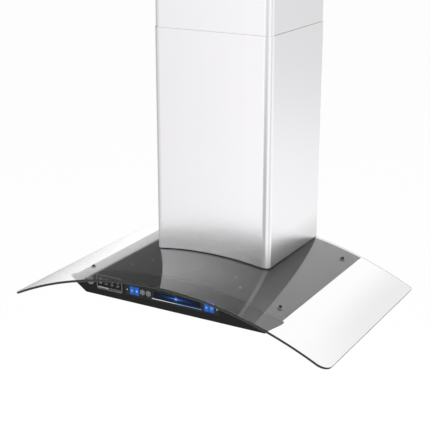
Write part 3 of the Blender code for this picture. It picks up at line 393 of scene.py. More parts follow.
def rounded_edge(thickness, near, far=0.0, steps=4, flat=0.0004):
    """(inset, level) pairs down the side of a plate whose two faces have rounded edges."""
    turns = [math.radians(90 * step / steps) for step in range(steps + 1)]
    profile = [(near + flat, 0)] + [(near - near * math.sin(t), near - near * math.cos(t)) for t in turns]
    if far:
        profile += [(far - far * math.cos(t), thickness - far + far * math.sin(t)) for t in turns]
        return profile + [(far + flat, thickness)]
    return profile + [(0, thickness)]


def plate(name, outline, profile, place, material, sharp=30):
    """A solid plate. outline is closed and runs counterclockwise; profile steps it in and along."""
    mesh = bmesh.new()
    rings = []
    for inset, level in profile:
        ring = offset(outline, inset, closed=True)
        rings.append([mesh.verts.new(place(a, b, level)) for a, b in ring])
    count = len(outline)
    for near, far in zip(rings, rings[1:]):
        for number in range(count):
            following = (number + 1) % count
            mesh.faces.new((near[number], near[following], far[following], far[number]))
    mesh.faces.new(rings[0])
    mesh.faces.new(rings[-1][::-1])
    return piece_of(name, mesh, material, sharp)


def on_front(a, b, level):
    """Across, up and back from the front plate's face."""
    return (a, FRONT_Y + level, b)


enamel = Finish("gloss_black_enamel", Specular_IOR_Level=0.12)
enamel.mottle(14, grey(0.0065), grey(0.0085), 0.20, 0.05)
enamel.bump(enamel.place.noise(1500, detail=1), 0.15, 0.00002)

plate_outline = [(-BODY_BOTTOM_HALF, UNDERSIDE_Z), (BODY_BOTTOM_HALF, UNDERSIDE_Z)]
plate_outline += arc_points(PLATE_RADIUS, PLATE_HALF, -PLATE_HALF, ARC_STEP)
ear = len(plate_outline) - 1
plate_outline = fillet(plate_outline, {number: EAR_CORNER for number in (0, 1, 2, ear)}, steps=5)
front_plate = plate("front_plate_tray", plate_outline, rounded_edge(PLATE_DEPTH, PLATE_BEND), on_front,
                    enamel.material)
hollow = [(-BODY_BOTTOM_HALF, UNDERSIDE_Z), (BODY_BOTTOM_HALF, UNDERSIDE_Z)]
hollow += arc_points(BODY_RADIUS, body_high.x, body_low.x, ARC_STEP)
hollow_tool = plate("tool", offset(hollow, PLATE_WALL, closed=True), [(0, PLATE_SHEET), (0, 2 * PLATE_DEPTH)],
                    on_front, enamel.material)
window_tool = box_tool((-PANEL_HALF - GAP, FRONT_Y - 0.01, PANEL_Z - PANEL_HEIGHT / 2 - GAP),
                       (PANEL_HALF + GAP, FRONT_Y + 0.01, PANEL_Z + PANEL_HEIGHT / 2 + GAP))
cut(front_plate, hollow_tool, window_tool)
settle(front_plate, "root", "front_black", "front_plate")


# ---------------------------------------------------------------- control panel
# A smoked plastic insert, flush with the front plate, that carries four lit touch keys, a clock and a
# display behind dark lenses, a line of light under the display, and a white indicator at each end.

smoked = Finish("smoked_plastic", Specular_IOR_Level=0.12)
smoked.mottle(40, grey(0.016), grey(0.020), 0.24, 0.06)
coat(smoked, "control_panel")

moulded = Finish("black_moulded_plastic", Specular_IOR_Level=0.4)
moulded.bump(moulded.mottle(1200, grey(0.016), grey(0.030), 0.45, 0.12), 0.3, 0.00005)
coat(moulded, "control_housing", "blower_scroll", "junction_box", "cable_gland", "duct_collar")

board = Finish("green_circuit_board", Roughness=0.4)
tracks = board.place.node("ShaderNodeTexBrick", {"offset": 0.5}, {
    "Vector": board.place, "Scale": 90.0, "Mortar Size": 0.03, "Color1": (0.01, 0.13, 0.04, 1),
    "Color2": (0.015, 0.17, 0.05, 1), "Mortar": (0.45, 0.32, 0.10, 1)})
board.set(Base_Color=tracks)
coat(board, "control_board")


def rounded_rectangle(half_width, half_height, radius, centre=(0, 0), steps=6):
    x, z = centre
    corners = [(x - half_width, z - half_height), (x + half_width, z - half_height),
               (x + half_width, z + half_height), (x - half_width, z + half_height)]
    flat = min(0.0004, (min(half_width, half_height) - radius) / 2)
    return fillet(corners, {number: radius for number in range(4)}, steps=steps, flat=flat)


lens = Finish("dark_display_lens", Roughness=0.06, Specular_IOR_Level=0.08)
ripple = lens.place.noise(30, detail=1)
# The display's light is drawn as a painted flare: a bright core at one point with blue streaks spreading from
# it, fading towards their ends.
FLARE_X, FLARE_Z = 0.0140, -0.0040
across = lens.place.axis("X") - FLARE_X
up = lens.place.axis("Z") - FLARE_Z
flare_streaks = 0
for slope, width, reach, strength in ((0.00, 0.0013, 0.016, 0.9), (-0.055, 0.0006, 0.040, 0.45),
                                      (0.060, 0.0006, 0.035, 0.4), (0.11, 0.0004, 0.025, 0.2)):
    drop = (up - across * slope) / width
    fade = across / reach
    flare_streaks = flare_streaks + (drop * drop + 1) ** -1 * (fade * fade + 1) ** -2 * strength
spot = (across * across + up * up) / 0.0016 ** 2
core = (spot + 1) ** -1.5
ends = across.size().ramp(0.045, 0.075, 1.0, 0.0)
glow = (flare_streaks * ends).mix((0.0002, 0.0008, 0.0035, 1), (0.004, 0.17, 0.80, 1))
lens.set(Base_Color=ripple.mix((0.002, 0.003, 0.006, 1), (0.003, 0.005, 0.010, 1)), Emission_Strength=1.0,
         Emission_Color=core.mix(glow, (0.75, 0.95, 1.0, 1)))
clock_glass = Finish("clock_lens", Specular_IOR_Level=0.1)
clock_glass.mottle(60, grey(0.012), grey(0.016), 0.10, 0.04)
for name, finish in (("display_lens", lens), ("clock_lens", clock_glass)):
    low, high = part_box(name)
    centre = ((low.x + high.x) / 2, (low.z + high.z) / 2)
    outline = rounded_rectangle((high.x - low.x) / 2, (high.z - low.z) / 2, 0.0008, centre, steps=3)
    edge = rounded_edge(high.y - low.y, 0.0003, steps=2, flat=0.0002)
    pane = plate(f"{name}_pane", outline, edge, on_front, finish.material)
    settle(pane, "root", "display_lens", name)


class Grower:
    """A Geometry Nodes tree with named inputs, whose result becomes a plain mesh piece."""

    def __init__(self, name, **inputs):
        self.tree = bpy.data.node_groups.new(name, "GeometryNodeTree")
        self.sockets = {}
        for label, kind in {"Start": "Geometry", **inputs}.items():
            socket = self.tree.interface.new_socket(label, in_out="INPUT", socket_type=f"NodeSocket{kind}")
            self.sockets[label] = socket.identifier
        self.tree.interface.new_socket("Result", in_out="OUTPUT", socket_type="NodeSocketGeometry")
        given = self.tree.nodes.new("NodeGroupInput").outputs
        self.given = {socket.name: Shade(socket) for socket in given if socket.name}

    def close(self, geometry):
        """Ends the tree: its instances become real, and take the finish called Finish."""
        real = geometry.node("GeometryNodeRealizeInstances", None, {0: geometry})
        painted = real.node("GeometryNodeSetMaterial", None,
                            {"Geometry": real, "Material": self.given["Finish"]})
        self.tree.links.new(painted.socket, self.tree.nodes.new("NodeGroupOutput").inputs[0])
        return self

    def piece(self, name, points, edges=(), sharp=30, **values):
        """Grows a piece from points and edges, with the tree's inputs set."""
        data = bpy.data.meshes.new(name)
        data.from_pydata(points, edges, [])
        seed = bpy.data.objects.new(name, data)
        scene.collection.objects.link(seed)
        modifier = seed.modifiers.new("grow", "NODES")
        modifier.node_group = self.tree
        for label, value in values.items():
            modifier[self.sockets[label]] = value
        graph = bpy.context.evaluated_depsgraph_get()
        grown = bpy.data.meshes.new_from_object(seed.evaluated_get(graph))
        bpy.data.objects.remove(seed)
        mesh = bmesh.new()
        mesh.from_mesh(grown)
        bmesh.ops.remove_doubles(mesh, verts=mesh.verts, dist=1e-7)
        return piece_of(name, mesh, values["Finish"], sharp)


printing = Grower("printed_strokes", Width="Float", Height="Float", Finish="Material")
lines = printing.given["Start"].node("GeometryNodeMeshToCurve", None, {"Mesh": printing.given["Start"]})
lines = lines.node("GeometryNodeSetCurveNormal", {"mode": "FREE"}, {"Curve": lines, "Normal": (0, -1, 0)})
ribbon = lines.node("GeometryNodeCurvePrimitiveQuadrilateral", {"mode": "RECTANGLE"},
                    {"Width": printing.given["Height"], "Height": printing.given["Width"]})
printing.close(lines.node("GeometryNodeCurveToMesh", None,
                          {"Curve": lines, "Profile Curve": ribbon, "Fill Caps": True}))
LIT_LEVEL, LIT_HEIGHT = -0.00003, 0.00012  # of lit marks, from the face they stand on


def drawn(name, strokes, level, width, height, material):
    """Printed or lit strokes on the front: strokes are lists of (across, up) points."""
    points, edges = [], []
    for stroke in strokes:
        first = len(points)
        closed = math.dist(stroke[0], stroke[-1]) < 1e-6
        kept = stroke[:-1] if closed else stroke
        points += [on_front(a, b, level) for a, b in kept]
        edges += [(first + step, first + step + 1) for step in range(len(kept) - 1)]
        edges += [(first + len(kept) - 1, first)] if closed else []
    return printing.piece(name, points, edges, Width=width, Height=height, Finish=material)


def ring(x, z, radius, start=0, end=360, steps=16):
    turns = [math.radians(start + (end - start) * step / steps) for step in range(steps + 1)]
    return [(x + radius * math.sin(t), z + radius * math.cos(t)) for t in turns]


def luminous(name, colour, strength):
    """A lit mark whose light is a little uneven, as through moulded plastic."""
    finish = Finish(name, Roughness=0.4, Emission_Strength=strength)
    uneven = finish.place.noise(350)
    dim = [channel * 0.75 for channel in colour]
    finish.set(Base_Color=uneven.mix((*[channel * 0.5 for channel in colour], 1), (*colour, 1)),
               Emission_Color=uneven.mix((*dim, 1), (*colour, 1)))
    return finish


KEY_HALF, KEY_RISE = 0.0064, 0.0108
key_light_colour = luminous("pale_blue_light", (0.33, 0.52, 0.85), 0.9)
ICONS = {
    "key_power": [ring(0, -0.0004, 0.0026, 35, 325), [(0, 0.0006), (0, 0.0032)]],
    "key_speed_down": [ring(0, 0, 0.0010), *[ring(0.0017 * math.sin(t), 0.0017 * math.cos(t), 0.0010)
                                             for t in (0, math.tau / 3, 2 * math.tau / 3)]],
    "key_speed_up": [ring(0, 0, 0.0009), *[[(0.0017 * math.sin(t), 0.0017 * math.cos(t)),
                                            (0.0029 * math.sin(t), 0.0029 * math.cos(t))]
                                           for t in [math.tau * i / 8 for i in range(8)]]],
    "key_light": [ring(0, 0.0003, 0.0026, 200, 520), [(-0.0011, -0.0028), (0.0011, -0.0028)]],
}
for name in ICONS:
    body = f"{name.removeprefix('key_')}_key"
    low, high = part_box(name)
    centre = ((low.x + high.x) / 2, (low.z + high.z) / 2)
    cap = Finish(f"{name}_blue", Roughness=0.22, Specular_IOR_Level=0.2, Emission_Strength=0.62)
    beyond_x = (cap.place.axis("X") - centre[0]) / KEY_HALF
    beyond_z = (cap.place.axis("Z") - centre[1]) / KEY_RISE
    falloff = (beyond_x * beyond_x * 0.35 + beyond_z * beyond_z * 0.5).ramp(0.0, 1.0)
    cap.set(Base_Color=falloff.mix((0.006, 0.05, 0.20, 1), (0.004, 0.03, 0.14, 1)),
            Emission_Color=falloff.mix((0.006, 0.105, 0.50, 1), (0.004, 0.065, 0.36, 1)))
    outline = rounded_rectangle((high.x - low.x) / 2, (high.z - low.z) / 2, 0.0012, centre, steps=4)
    key = plate(f"{body}_cap", outline, rounded_edge(high.y - low.y, 0.0005, steps=3, flat=0.0002),
                lambda a, b, level: (a, low.y + level, b), cap.material)
    settle(key, body, "key_blue", name)
    strokes = [[(centre[0] + a, centre[1] + b) for a, b in stroke] for stroke in ICONS[name]]
    icon = drawn(f"{body}_icon", strokes, low.y - FRONT_Y + LIT_LEVEL, 0.0005, LIT_HEIGHT,
                 key_light_colour.material)
    settle(icon, body, "key_blue")


# The clock's seven-segment digits, with a small mark above and below each pair
clock_low, clock_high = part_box("clock_lens")
DIGIT_WIDTH, DIGIT_HEIGHT, DIGIT_STARTS = 0.0048, 0.0094, (-0.0904, -0.0837, -0.0723, -0.0656)
SEGMENT_SHARES = (0.14, 0.86)  # of a digit's side that a segment spans
COLON_X, COLON_HALF, COLON_RISE = -0.0756, 0.0004, 0.0014
MARKS_X, MARK_HALF, MARK_RISE = (-0.0848, -0.0667), 0.0012, 0.0072
SEGMENTS = (((0, 2), (1, 2)), ((1, 2), (1, 1)), ((1, 1), (1, 0)), ((1, 0), (0, 0)), ((0, 0), (0, 1)),
            ((0, 1), (0, 2)), ((0, 1), (1, 1)))
clock_z = (clock_low.z + clock_high.z) / 2
strokes = []
for start_x in DIGIT_STARTS:
    for ends in SEGMENTS:
        start, end = [Vector((start_x + a * DIGIT_WIDTH, clock_z + (b / 2 - 0.5) * DIGIT_HEIGHT))
                      for a, b in ends]
        strokes.append([tuple(start.lerp(end, share)) for share in SEGMENT_SHARES])
for x, half, rise in [(COLON_X, COLON_HALF, COLON_RISE), *[(x, MARK_HALF, MARK_RISE) for x in MARKS_X]]:
    strokes += [[(x - half, z), (x + half, z)] for z in (clock_z + rise, clock_z - rise)]
digit_light = luminous("pale_digit_light", (0.50, 0.52, 0.54), 0.8)
digits = drawn("clock_digits", strokes, LIT_LEVEL, 0.0006, LIT_HEIGHT, digit_light.material)
settle(digits, "root", "display_lens")

light_bar = Finish("light_line", Roughness=0.35, Emission_Strength=0.85)
run = light_bar.place.axis("X").ramp(-0.030, 0.045)
light_bar.set(Base_Color=run.mix(grey(0.5), (0.1, 0.25, 0.6, 1)),
              Emission_Color=run.mix((0.72, 0.76, 0.80, 1), (0.03, 0.16, 0.55, 1)))
LIGHT_LINE_Z, SPEED_DASH_Z = -0.0158, 0.0075
bar = drawn("display_light_line", [[(x, LIGHT_LINE_Z) for x in (-0.0558, 0.0, 0.0875)]], LIT_LEVEL, 0.0011,
            LIT_HEIGHT, light_bar.material)
settle(bar, "root", "display_lens")
dash = drawn("speed_dash", [[(x, SPEED_DASH_Z) for x in (0.099, 0.119)]], LIT_LEVEL, 0.0007, LIT_HEIGHT,
             luminous("blue_dash_light", (0.01, 0.06, 0.40), 0.8).material)
settle(dash, "root", "key_blue")
white_light = luminous("white_indicator", (0.62, 0.62, 0.60), 0.9)
for side, x in (("left", -0.1300), ("right", 0.1300)):
    spot_outline = ring(x, PANEL_Z, 0.0012, 360, 0, 16)[:-1]
    indicator = plate(f"indicator_{side}", spot_outline, [(0.0003, -LIT_HEIGHT), (0, LIT_LEVEL), (0, 0.0003)],
                      on_front, white_light.material)
    settle(indicator, "root", "white_plastic")


# ---------------------------------------------------------------- front plate's label and badge
# At the front plate's left end are a plain round badge of dull nickel, and a printed label: a rounded frame
# round a row of four generic symbols over short bars, with a filled and an open bar below.

print_ink = Finish("grey_print", Roughness=0.5)
worn = print_ink.place.noise(300, detail=3)
print_ink.set(Base_Color=worn.mix(grey(0.30), grey(0.42)))
PRINT_LEVEL, PRINT_HEIGHT = -0.00002, 0.00008
LABEL_X, LABEL_Z, LABEL_HALF, LABEL_RISE = -0.1845, -0.0045, 0.03825, 0.01675
frame_line = rounded_rectangle(LABEL_HALF, LABEL_RISE, 0.004, (LABEL_X, LABEL_Z))
strokes = [frame_line + frame_line[:1]]
SYMBOL_START, SYMBOL_PITCH, SYMBOL_RISE, BAR_DROP = -0.0265, 0.0175, 0.0065, 0.0125
for number in range(4):
    x = LABEL_X + SYMBOL_START + SYMBOL_PITCH * number
    z = LABEL_Z + SYMBOL_RISE
    strokes.append((ring(x, z, 0.0024), ring(x, z, 0.0026, 0, 360, 4), ring(x, z, 0.0022, -60, 240),
                    [(x - 0.002, z), (x - 0.0005, z - 0.002), (x + 0.0025, z + 0.0022)])[number])
    for drop in (0.0065, 0.0092):
        strokes.append([(x - 0.0045, z - drop), (x + (0.0045 if drop < 0.008 else 0.002), z - drop)])
label = drawn("label_lines", strokes, PRINT_LEVEL, 0.0007, PRINT_HEIGHT, print_ink.material)
settle(label, "root", "front_black")
bar_z = LABEL_Z - BAR_DROP
strokes = [[(LABEL_X - 0.0355, bar_z), (LABEL_X - 0.003, bar_z)]]
label_bar = drawn("label_bar", strokes, PRINT_LEVEL, 0.0028, PRINT_HEIGHT, print_ink.material)
settle(label_bar, "root", "front_black")
open_bar = rounded_rectangle(0.0165, 0.0014, 0.0008, (LABEL_X + 0.0180, bar_z))
label_open_bar = drawn("label_open_bar", [open_bar + open_bar[:1]], PRINT_LEVEL, 0.0005, PRINT_HEIGHT,
                       print_ink.material)
settle(label_open_bar, "root", "front_black")

nickel = Finish("dull_nickel", Metallic=1.0)
BADGE_X, BADGE_Z, BADGE_RADIUS = -0.2431, -0.0058, 0.0100
radius_from = ((nickel.place.axis("X") - BADGE_X) ** 2 + (nickel.place.axis("Z") - BADGE_Z) ** 2) ** 0.5
rings = radius_from.math("SINE", radius_from * 5200)
nickel.set(Base_Color=rings.ramp(-1, 1).mix((0.17, 0.165, 0.155, 1), (0.24, 0.235, 0.225, 1)),
           Roughness=0.38 + 0.08 * rings)
badge = plate("round_badge", ring(BADGE_X, BADGE_Z, BADGE_RADIUS, 360, 0, 48)[:-1],
              [(0.0042, -0.00035), (0.0034, -0.00025), (0.0020, -0.00030), (0.0008, -0.00055),
               (0.0003, -0.00050), (0, -0.00025), (0, -0.00002)], on_front, nickel.material)
settle(badge, "root", "bright_steel")


# ---------------------------------------------------------------- glass canopy
# One sheet of 6 mm tempered glass, bent to a single arc across the hood, with rounded corners, polished
# edges, a notch for the blower at the wall, and four countersunk holes for the screws that hold it.

glass_low, glass_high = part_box("glass_canopy")
GLASS_CORNER = 0.030
GLASS_REAR_CORNER = 0.008
GLASS_EDGE = 0.0022
NOTCH_SPACE = 0.008
NOTCH_MOUTH = 0.003
SCREW_X, SCREW_FRONT_Y, SCREW_REAR_Y = 0.272, -0.435, -0.0625
HOLE_STEPS = 32
HOLE_RADIUS, HOLE_FLARE = 0.0032, 0.0014


def along_glass(x):
    """Distance along the canopy's top face from its middle to the point over x."""
    return GLASS_RADIUS * math.asin(x / GLASS_RADIUS)


glass_end = along_glass(glass_high.x)
notch_side, notch_front = along_glass(blower_high.x + NOTCH_SPACE), blower_low.y - NOTCH_SPACE
outline = [(notch_side, 0), (notch_side, notch_front), (-notch_side, notch_front), (-notch_side, 0),
           (-glass_end, 0), (-glass_end, glass_low.y), (glass_end, glass_low.y), (glass_end, 0)]
corners = (NOTCH_MOUTH, NOTCH_SPACE, NOTCH_SPACE, NOTCH_MOUTH,
           GLASS_REAR_CORNER, GLASS_CORNER, GLASS_CORNER, GLASS_REAR_CORNER)
outline = fillet(outline, dict(enumerate(corners)), steps=14)

clear = Finish("clear_tempered_glass", Base_Color=(0.945, 0.945, 0.945, 1), Transmission_Weight=1.0, IOR=1.5,
               Roughness=0.0)
shadow_ray = Shade(clear.tree.nodes.new("ShaderNodeLightPath").outputs["Is Shadow Ray"])
see_through = shadow_ray.node("ShaderNodeBsdfTransparent", None, {0: (0.90, 0.91, 0.91, 1)})
both = shadow_ray.node("ShaderNodeMixShader", None,
                       {0: shadow_ray, 1: Shade(clear.shader.outputs[0]), 2: see_through})
clear.tree.links.new(both.socket, clear.tree.nodes["Material Output"].inputs["Surface"])

# An opaque near-black finish for the glass's front edge faces: painted shade and dark reflection in the edge,
# where clear glass would be.
painted_shade_edge = Finish("dark_ground_edge", Specular_IOR_Level=0.5)
painted_shade_edge.mottle((250, 900, 900), (0.006, 0.008, 0.008, 1), (0.014, 0.018, 0.017, 1), 0.20, 0.1)

canopy = plate("glass_sheet", outline, rounded_edge(GLASS_THICKNESS, GLASS_EDGE, GLASS_EDGE, steps=4),
               lambda a, b, level: (a, b, -level), clear.material)
for x in (-SCREW_X, SCREW_X):
    for y in (SCREW_FRONT_Y, SCREW_REAR_Y):
        mesh = bmesh.new()
        flare = [(HOLE_RADIUS + HOLE_FLARE, 0.001), (HOLE_RADIUS, -0.0008),
                 (HOLE_RADIUS, -GLASS_THICKNESS + 0.0008),
                 (HOLE_RADIUS + HOLE_FLARE, -GLASS_THICKNESS - 0.001)]
        turns = [math.tau * i / HOLE_STEPS for i in range(HOLE_STEPS)]
        circles = [[mesh.verts.new((along_glass(x) + r * math.cos(t), y + r * math.sin(t), z)) for t in turns]
                   for r, z in flare]
        for near, far in zip(circles, circles[1:]):
            for number in range(HOLE_STEPS):
                mesh.faces.new((near[number], near[number - 1], far[number - 1], far[number]))
        mesh.faces.new(circles[0])
        mesh.faces.new(circles[-1][::-1])
        cut(canopy, piece_of("tool", mesh, clear.material))

mesh = bmesh.new()
mesh.from_mesh(canopy.data)
bpy.data.objects.remove(canopy)
BEND_STEP, DEPTH_STEP, FIRST_CUT = math.radians(0.6) * GLASS_RADIUS, 0.045, 0.02
cuts = [((step * BEND_STEP, 0, 0), (1, 0, 0)) for step in range(-45, 46)]
cuts += [((0, -step * DEPTH_STEP - FIRST_CUT, 0), (0, 1, 0)) for step in range(12)]
for place, normal in cuts:
    everything = list(mesh.verts) + list(mesh.edges) + list(mesh.faces)
    bmesh.ops.bisect_plane(mesh, geom=everything, dist=1e-6, plane_co=place, plane_no=normal)
for point in mesh.verts:
    angle, out = point.co.x / GLASS_RADIUS, GLASS_RADIUS + point.co.z
    point.co = (out * math.sin(angle), point.co.y, ARC_AXIS_Z + out * math.cos(angle))
canopy = piece_of("glass_sheet", mesh, clear.material, sharp=35)
canopy.data.materials.append(painted_shade_edge.material)
# Only the edge faces that face the front take the painted dark finish.
front_limit = glass_low.y + GLASS_CORNER * 0.9
for face in canopy.data.polygons:
    upward = Vector((face.center.x, 0, face.center.z - ARC_AXIS_Z)).normalized()
    if face.center.y < front_limit and abs(face.normal.dot(upward)) < 0.9 and face.normal.y < -0.25:
        face.material_index = 1
settle(canopy, "root", "canopy_glass", "glass_canopy")


# ---------------------------------------------------------------- glass screws and pads
# Four cap screws on soft washers go through the glass into the body, and the glass stands on rubber pads at
# each of them. Four rivet heads and a stud show on the body's crown under the glass.

studs = Grower("studs_on_arc", Kind="Object", Finish="Material")
kind = studs.given["Kind"].node("GeometryNodeObjectInfo", None, {"Object": studs.given["Kind"]}, 4)
spot = kind.node("GeometryNodeInputPosition", None, None)
reach_x = spot.node("ShaderNodeSeparateXYZ", None, {0: spot}, 0)
height = spot.node("ShaderNodeSeparateXYZ", None, {0: spot}, 2) - ARC_AXIS_Z
outward = height.node("ShaderNodeCombineXYZ", None, {0: reach_x, 2: height})
tilt = outward.node("FunctionNodeAlignRotationToVector", {"axis": "Z"}, {"Vector": outward})
studs.close(tilt.node("GeometryNodeInstanceOnPoints", None, {"Points": studs.given["Start"], "Instance": kind,
                                                             "Rotation": tilt}))


def lathe(name, profile, material, centre=(0, 0, 0), steps=48, sharp=30):
    """A turned piece from (radius, height) pairs that run round its section; radius 0 closes it."""
    mesh = bmesh.new()
    circles = []
    for radius, z in profile:
        count = steps if radius else 1
        turns = [math.tau * number / steps for number in range(count)]
        ring_points = [(radius * math.cos(t), radius * math.sin(t), z) for t in turns]
        circles.append([mesh.verts.new(Vector(point) + Vector(centre)) for point in ring_points])
    closed = profile[0][0] > 0
    for near, far in zip(circles, circles[1:] + (circles[:1] if closed else [])):
        for number in range(steps):
            following = (number + 1) % steps
            corners = [near[number % len(near)], near[following % len(near)], far[following % len(far)],
                       far[number % len(far)]]
            corners = list(dict.fromkeys(corners))
            if len(corners) > 2:
                mesh.faces.new(corners)
    return piece_of(name, mesh, material, sharp)


def on_arc(x, y, lift):
    """A point above the glass's top face."""
    out = GLASS_RADIUS + lift
    angle = math.asin(x / GLASS_RADIUS)
    return (out * math.sin(angle), y, ARC_AXIS_Z + out * math.cos(angle))


rubber = Finish("black_rubber", Specular_IOR_Level=0.3)
rubber.bump(rubber.mottle(1800, grey(0.010), grey(0.022), 0.55, 0.15), 0.2, 0.00003)
cap_steel = Finish("screw_steel", Metallic=1.0)
cap_steel.mottle((2600, 2600, 60), grey(0.30), grey(0.46), 0.22, 0.14, detail=1)
black_cap = Finish("black_oxide_cap", Specular_IOR_Level=0.3)
black_cap.mottle(1500, grey(0.004), grey(0.012), 0.30, 0.15)
nylon = Finish("pale_nylon", Specular_IOR_Level=0.4)
nylon.mottle(400, grey(0.26), grey(0.36), 0.35, 0.10)

head = lathe("screw_head", [
    (0, 0.0007), (0.0022, 0.0007), (0.0024, 0.0009), (0.0024, 0.0022), (0.0027, 0.0026), (0.0038, 0.0026),
    (0.0044, 0.0022), (0.0046, 0.0014), (0.0046, 0.0003), (0.0040, 0.0003), (0.0020, 0.0002),
    (0.0019, -0.0085), (0, -0.0090)], black_cap.material, steps=24)
washer = lathe("washer", [
    (0.0024, 0.00005), (0.0060, 0.00005), (0.0066, 0.00025), (0.0064, 0.0006), (0.0056, 0.0008),
    (0.0048, 0.00025), (0.0024, 0.00025)], nylon.material, steps=32)
pad = lathe("pad", [
    (0.0028, 0.0018), (0.0028, 0.0002), (0.0074, 0.0002), (0.0079, 0.0006), (0.0080, 0.0012),
    (0.0076, 0.0017), (0.0070, 0.0018)], rubber.material, steps=32)
rivet = lathe("rivet", [(0, 0.0011), (0.0012, 0.0010), (0.0022, 0.0006), (0.0027, 0), (0, -0.0002)],
              cap_steel.material, steps=20)
fixings = [(x, y) for x in (-SCREW_X, SCREW_X) for y in (SCREW_FRONT_Y, SCREW_REAR_Y)]
rivets = [(-0.157, -0.423), (0.157, -0.423), (-0.1235, -0.380), (0.1235, -0.380), (0.017, -0.395)]
screws = [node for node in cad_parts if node.startswith("glass_screw")]
pads = [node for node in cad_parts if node.startswith("glass_pad")]
for name, kind, finish, places, lift, slot, nodes in (
        ("glass_screws", head, black_cap, fixings, 0.0006, "bright_steel", screws),
        ("glass_washers", washer, nylon, fixings, 0.0, "white_plastic", []),
        ("glass_pads", pad, rubber, fixings, BODY_RADIUS - GLASS_RADIUS, "rubber", pads),
        ("crown_rivets", rivet, cap_steel, rivets, BODY_RADIUS - GLASS_RADIUS, "bright_steel", [])):
    points = [on_arc(x, y, lift) for x, y in places]
    grown = studs.piece(name, points, Kind=kind, Finish=finish.material)
    settle(grown, "root", slot, *nodes)
for kind in (head, washer, pad, rivet):
    bpy.data.objects.remove(kind)


# ---------------------------------------------------------------- chimney covers and seal
# Two telescoping three-sided covers of 0.8 mm brushed stainless hide the duct, with their grain upright. The
# lower one's foot follows the glass on a thin black seal; the upper one slides up to the ceiling.

lower_low, lower_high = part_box("lower_chimney_cover")
upper_low, upper_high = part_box("upper_chimney_cover")
CHIMNEY_HALF, CHIMNEY_FRONT_Y = lower_high.x, lower_low.y
CHIMNEY_CORNER = 0.020
CHIMNEY_SHEET = 0.0008
EDGE_BREAK = 0.00015
ROW_WIDTH = 0.009  # of faces along the covers' path, so that the foot follows the arc
FOOT_RADIUS = GLASS_RADIUS + 0.0018

steel = Finish("brushed_chimney_steel", Metallic=1.0)
hairs = steel.place.noise((1600, 1600, 6), detail=2)
bands = steel.place.noise((60, 60, 0.5), detail=1)
# The base colour falls to 77 % towards the covers' foot: painted shade where the covers meet the glass.
painted_shade_at_foot = (steel.place.axis("Z") - 0.001 * bands).ramp(0.045, 0.120, 0.77, 1.0)
grain_colour = (0.6 * hairs + 0.4 * bands).mix((0.875, 0.862, 0.878, 1), (0.915, 0.901, 0.918, 1))
steel.set(Base_Color=painted_shade_at_foot.mix((0, 0, 0, 1), grain_colour), Roughness=0.25 + 0.03 * hairs)


def at_level(a, b, level):
    return (a, b, level)


def cover(name, inset, foot, top, body, node):
    """A cover's sheet: wall, corner, front, corner, wall. foot is a number or a function of x and y."""
    half, front = CHIMNEY_HALF - inset, CHIMNEY_FRONT_Y + inset
    path = [(-half, 0), (-half, front), (half, front), (half, 0)]
    path = fillet(path, {1: CHIMNEY_CORNER - inset, 2: CHIMNEY_CORNER - inset}, steps=16)
    dense = [path[0]]
    for before, after in zip(path, path[1:]):
        run = Vector(after) - Vector(before)
        count = max(1, math.ceil(run.length / ROW_WIDTH))
        dense += [tuple(Vector(before) + run * (number + 1) / count) for number in range(count)]
    base = foot if callable(foot) else lambda a, b: foot
    levels = [base, lambda a, b: base(a, b) + 0.0015, lambda a, b: base(a, b) + 0.02, top - 0.0015, top]
    sheet = bent_sheet(name, dense, CHIMNEY_SHEET, at_level, levels, steel.material)
    modifier = sheet.modifiers.new("break", "BEVEL")
    modifier.width = EDGE_BREAK
    modifier.limit_method = "ANGLE"
    modifier.angle_limit = math.radians(60)
    made = bpy.data.meshes.new_from_object(sheet.evaluated_get(bpy.context.evaluated_depsgraph_get()))
    sheet.modifiers.clear()
    sheet.data = made
    made.set_sharp_from_angle(angle=math.radians(30))
    settle(sheet, body, "brushed_steel", node)


cover("lower_cover_sheet", 0, lambda a, b: ARC_AXIS_Z + math.sqrt(FOOT_RADIUS ** 2 - a * a), lower_high.z,
      "root", "lower_chimney_cover")
cover("upper_cover_sheet", CHIMNEY_HALF - upper_high.x, upper_low.z, upper_high.z,
      "upper_chimney", "upper_chimney_cover")

SEAL_WIDTH, SEAL_CORNER, SEAL_INSET, SEAL_ROWS = 0.003, 0.021, 0.0005, 16
seal_half, seal_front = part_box("chimney_foot_seal")[1].x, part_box("chimney_foot_seal")[0].y
seal_path = [(-seal_half, 0), (-seal_half, seal_front), (seal_half, seal_front), (seal_half, 0)]
seal_path = fillet(seal_path, {1: SEAL_CORNER, 2: SEAL_CORNER}, steps=12)
seal_path = [Vector(point) for point in offset(seal_path, SEAL_INSET)]
dense = []
for before, after in zip(seal_path, seal_path[1:]):
    rows = SEAL_ROWS if (after - before).length > 0.05 else 1
    dense += [tuple(before.lerp(after, number / rows)) for number in range(rows)]
dense.append(tuple(seal_path[-1]))
seal_levels = [(lambda a, b, rise=rise: ARC_AXIS_Z + math.sqrt((GLASS_RADIUS + rise) ** 2 - a * a))
               for rise in (0.0003, 0.0005, 0.0012, 0.0014)]
seal = bent_sheet("foot_seal", dense, SEAL_WIDTH, at_level, seal_levels, rubber.material)
settle(seal, "root", "rubber", "chimney_foot_seal")


# ---------------------------------------------------------------- baffle filters and latches
# Two lift-out stainless baffle filters. Each is a folded frame round two layers of channels, the lower ones
# open upward and the upper ones downward, and a sprung latch with a finger grip holds its front edge.

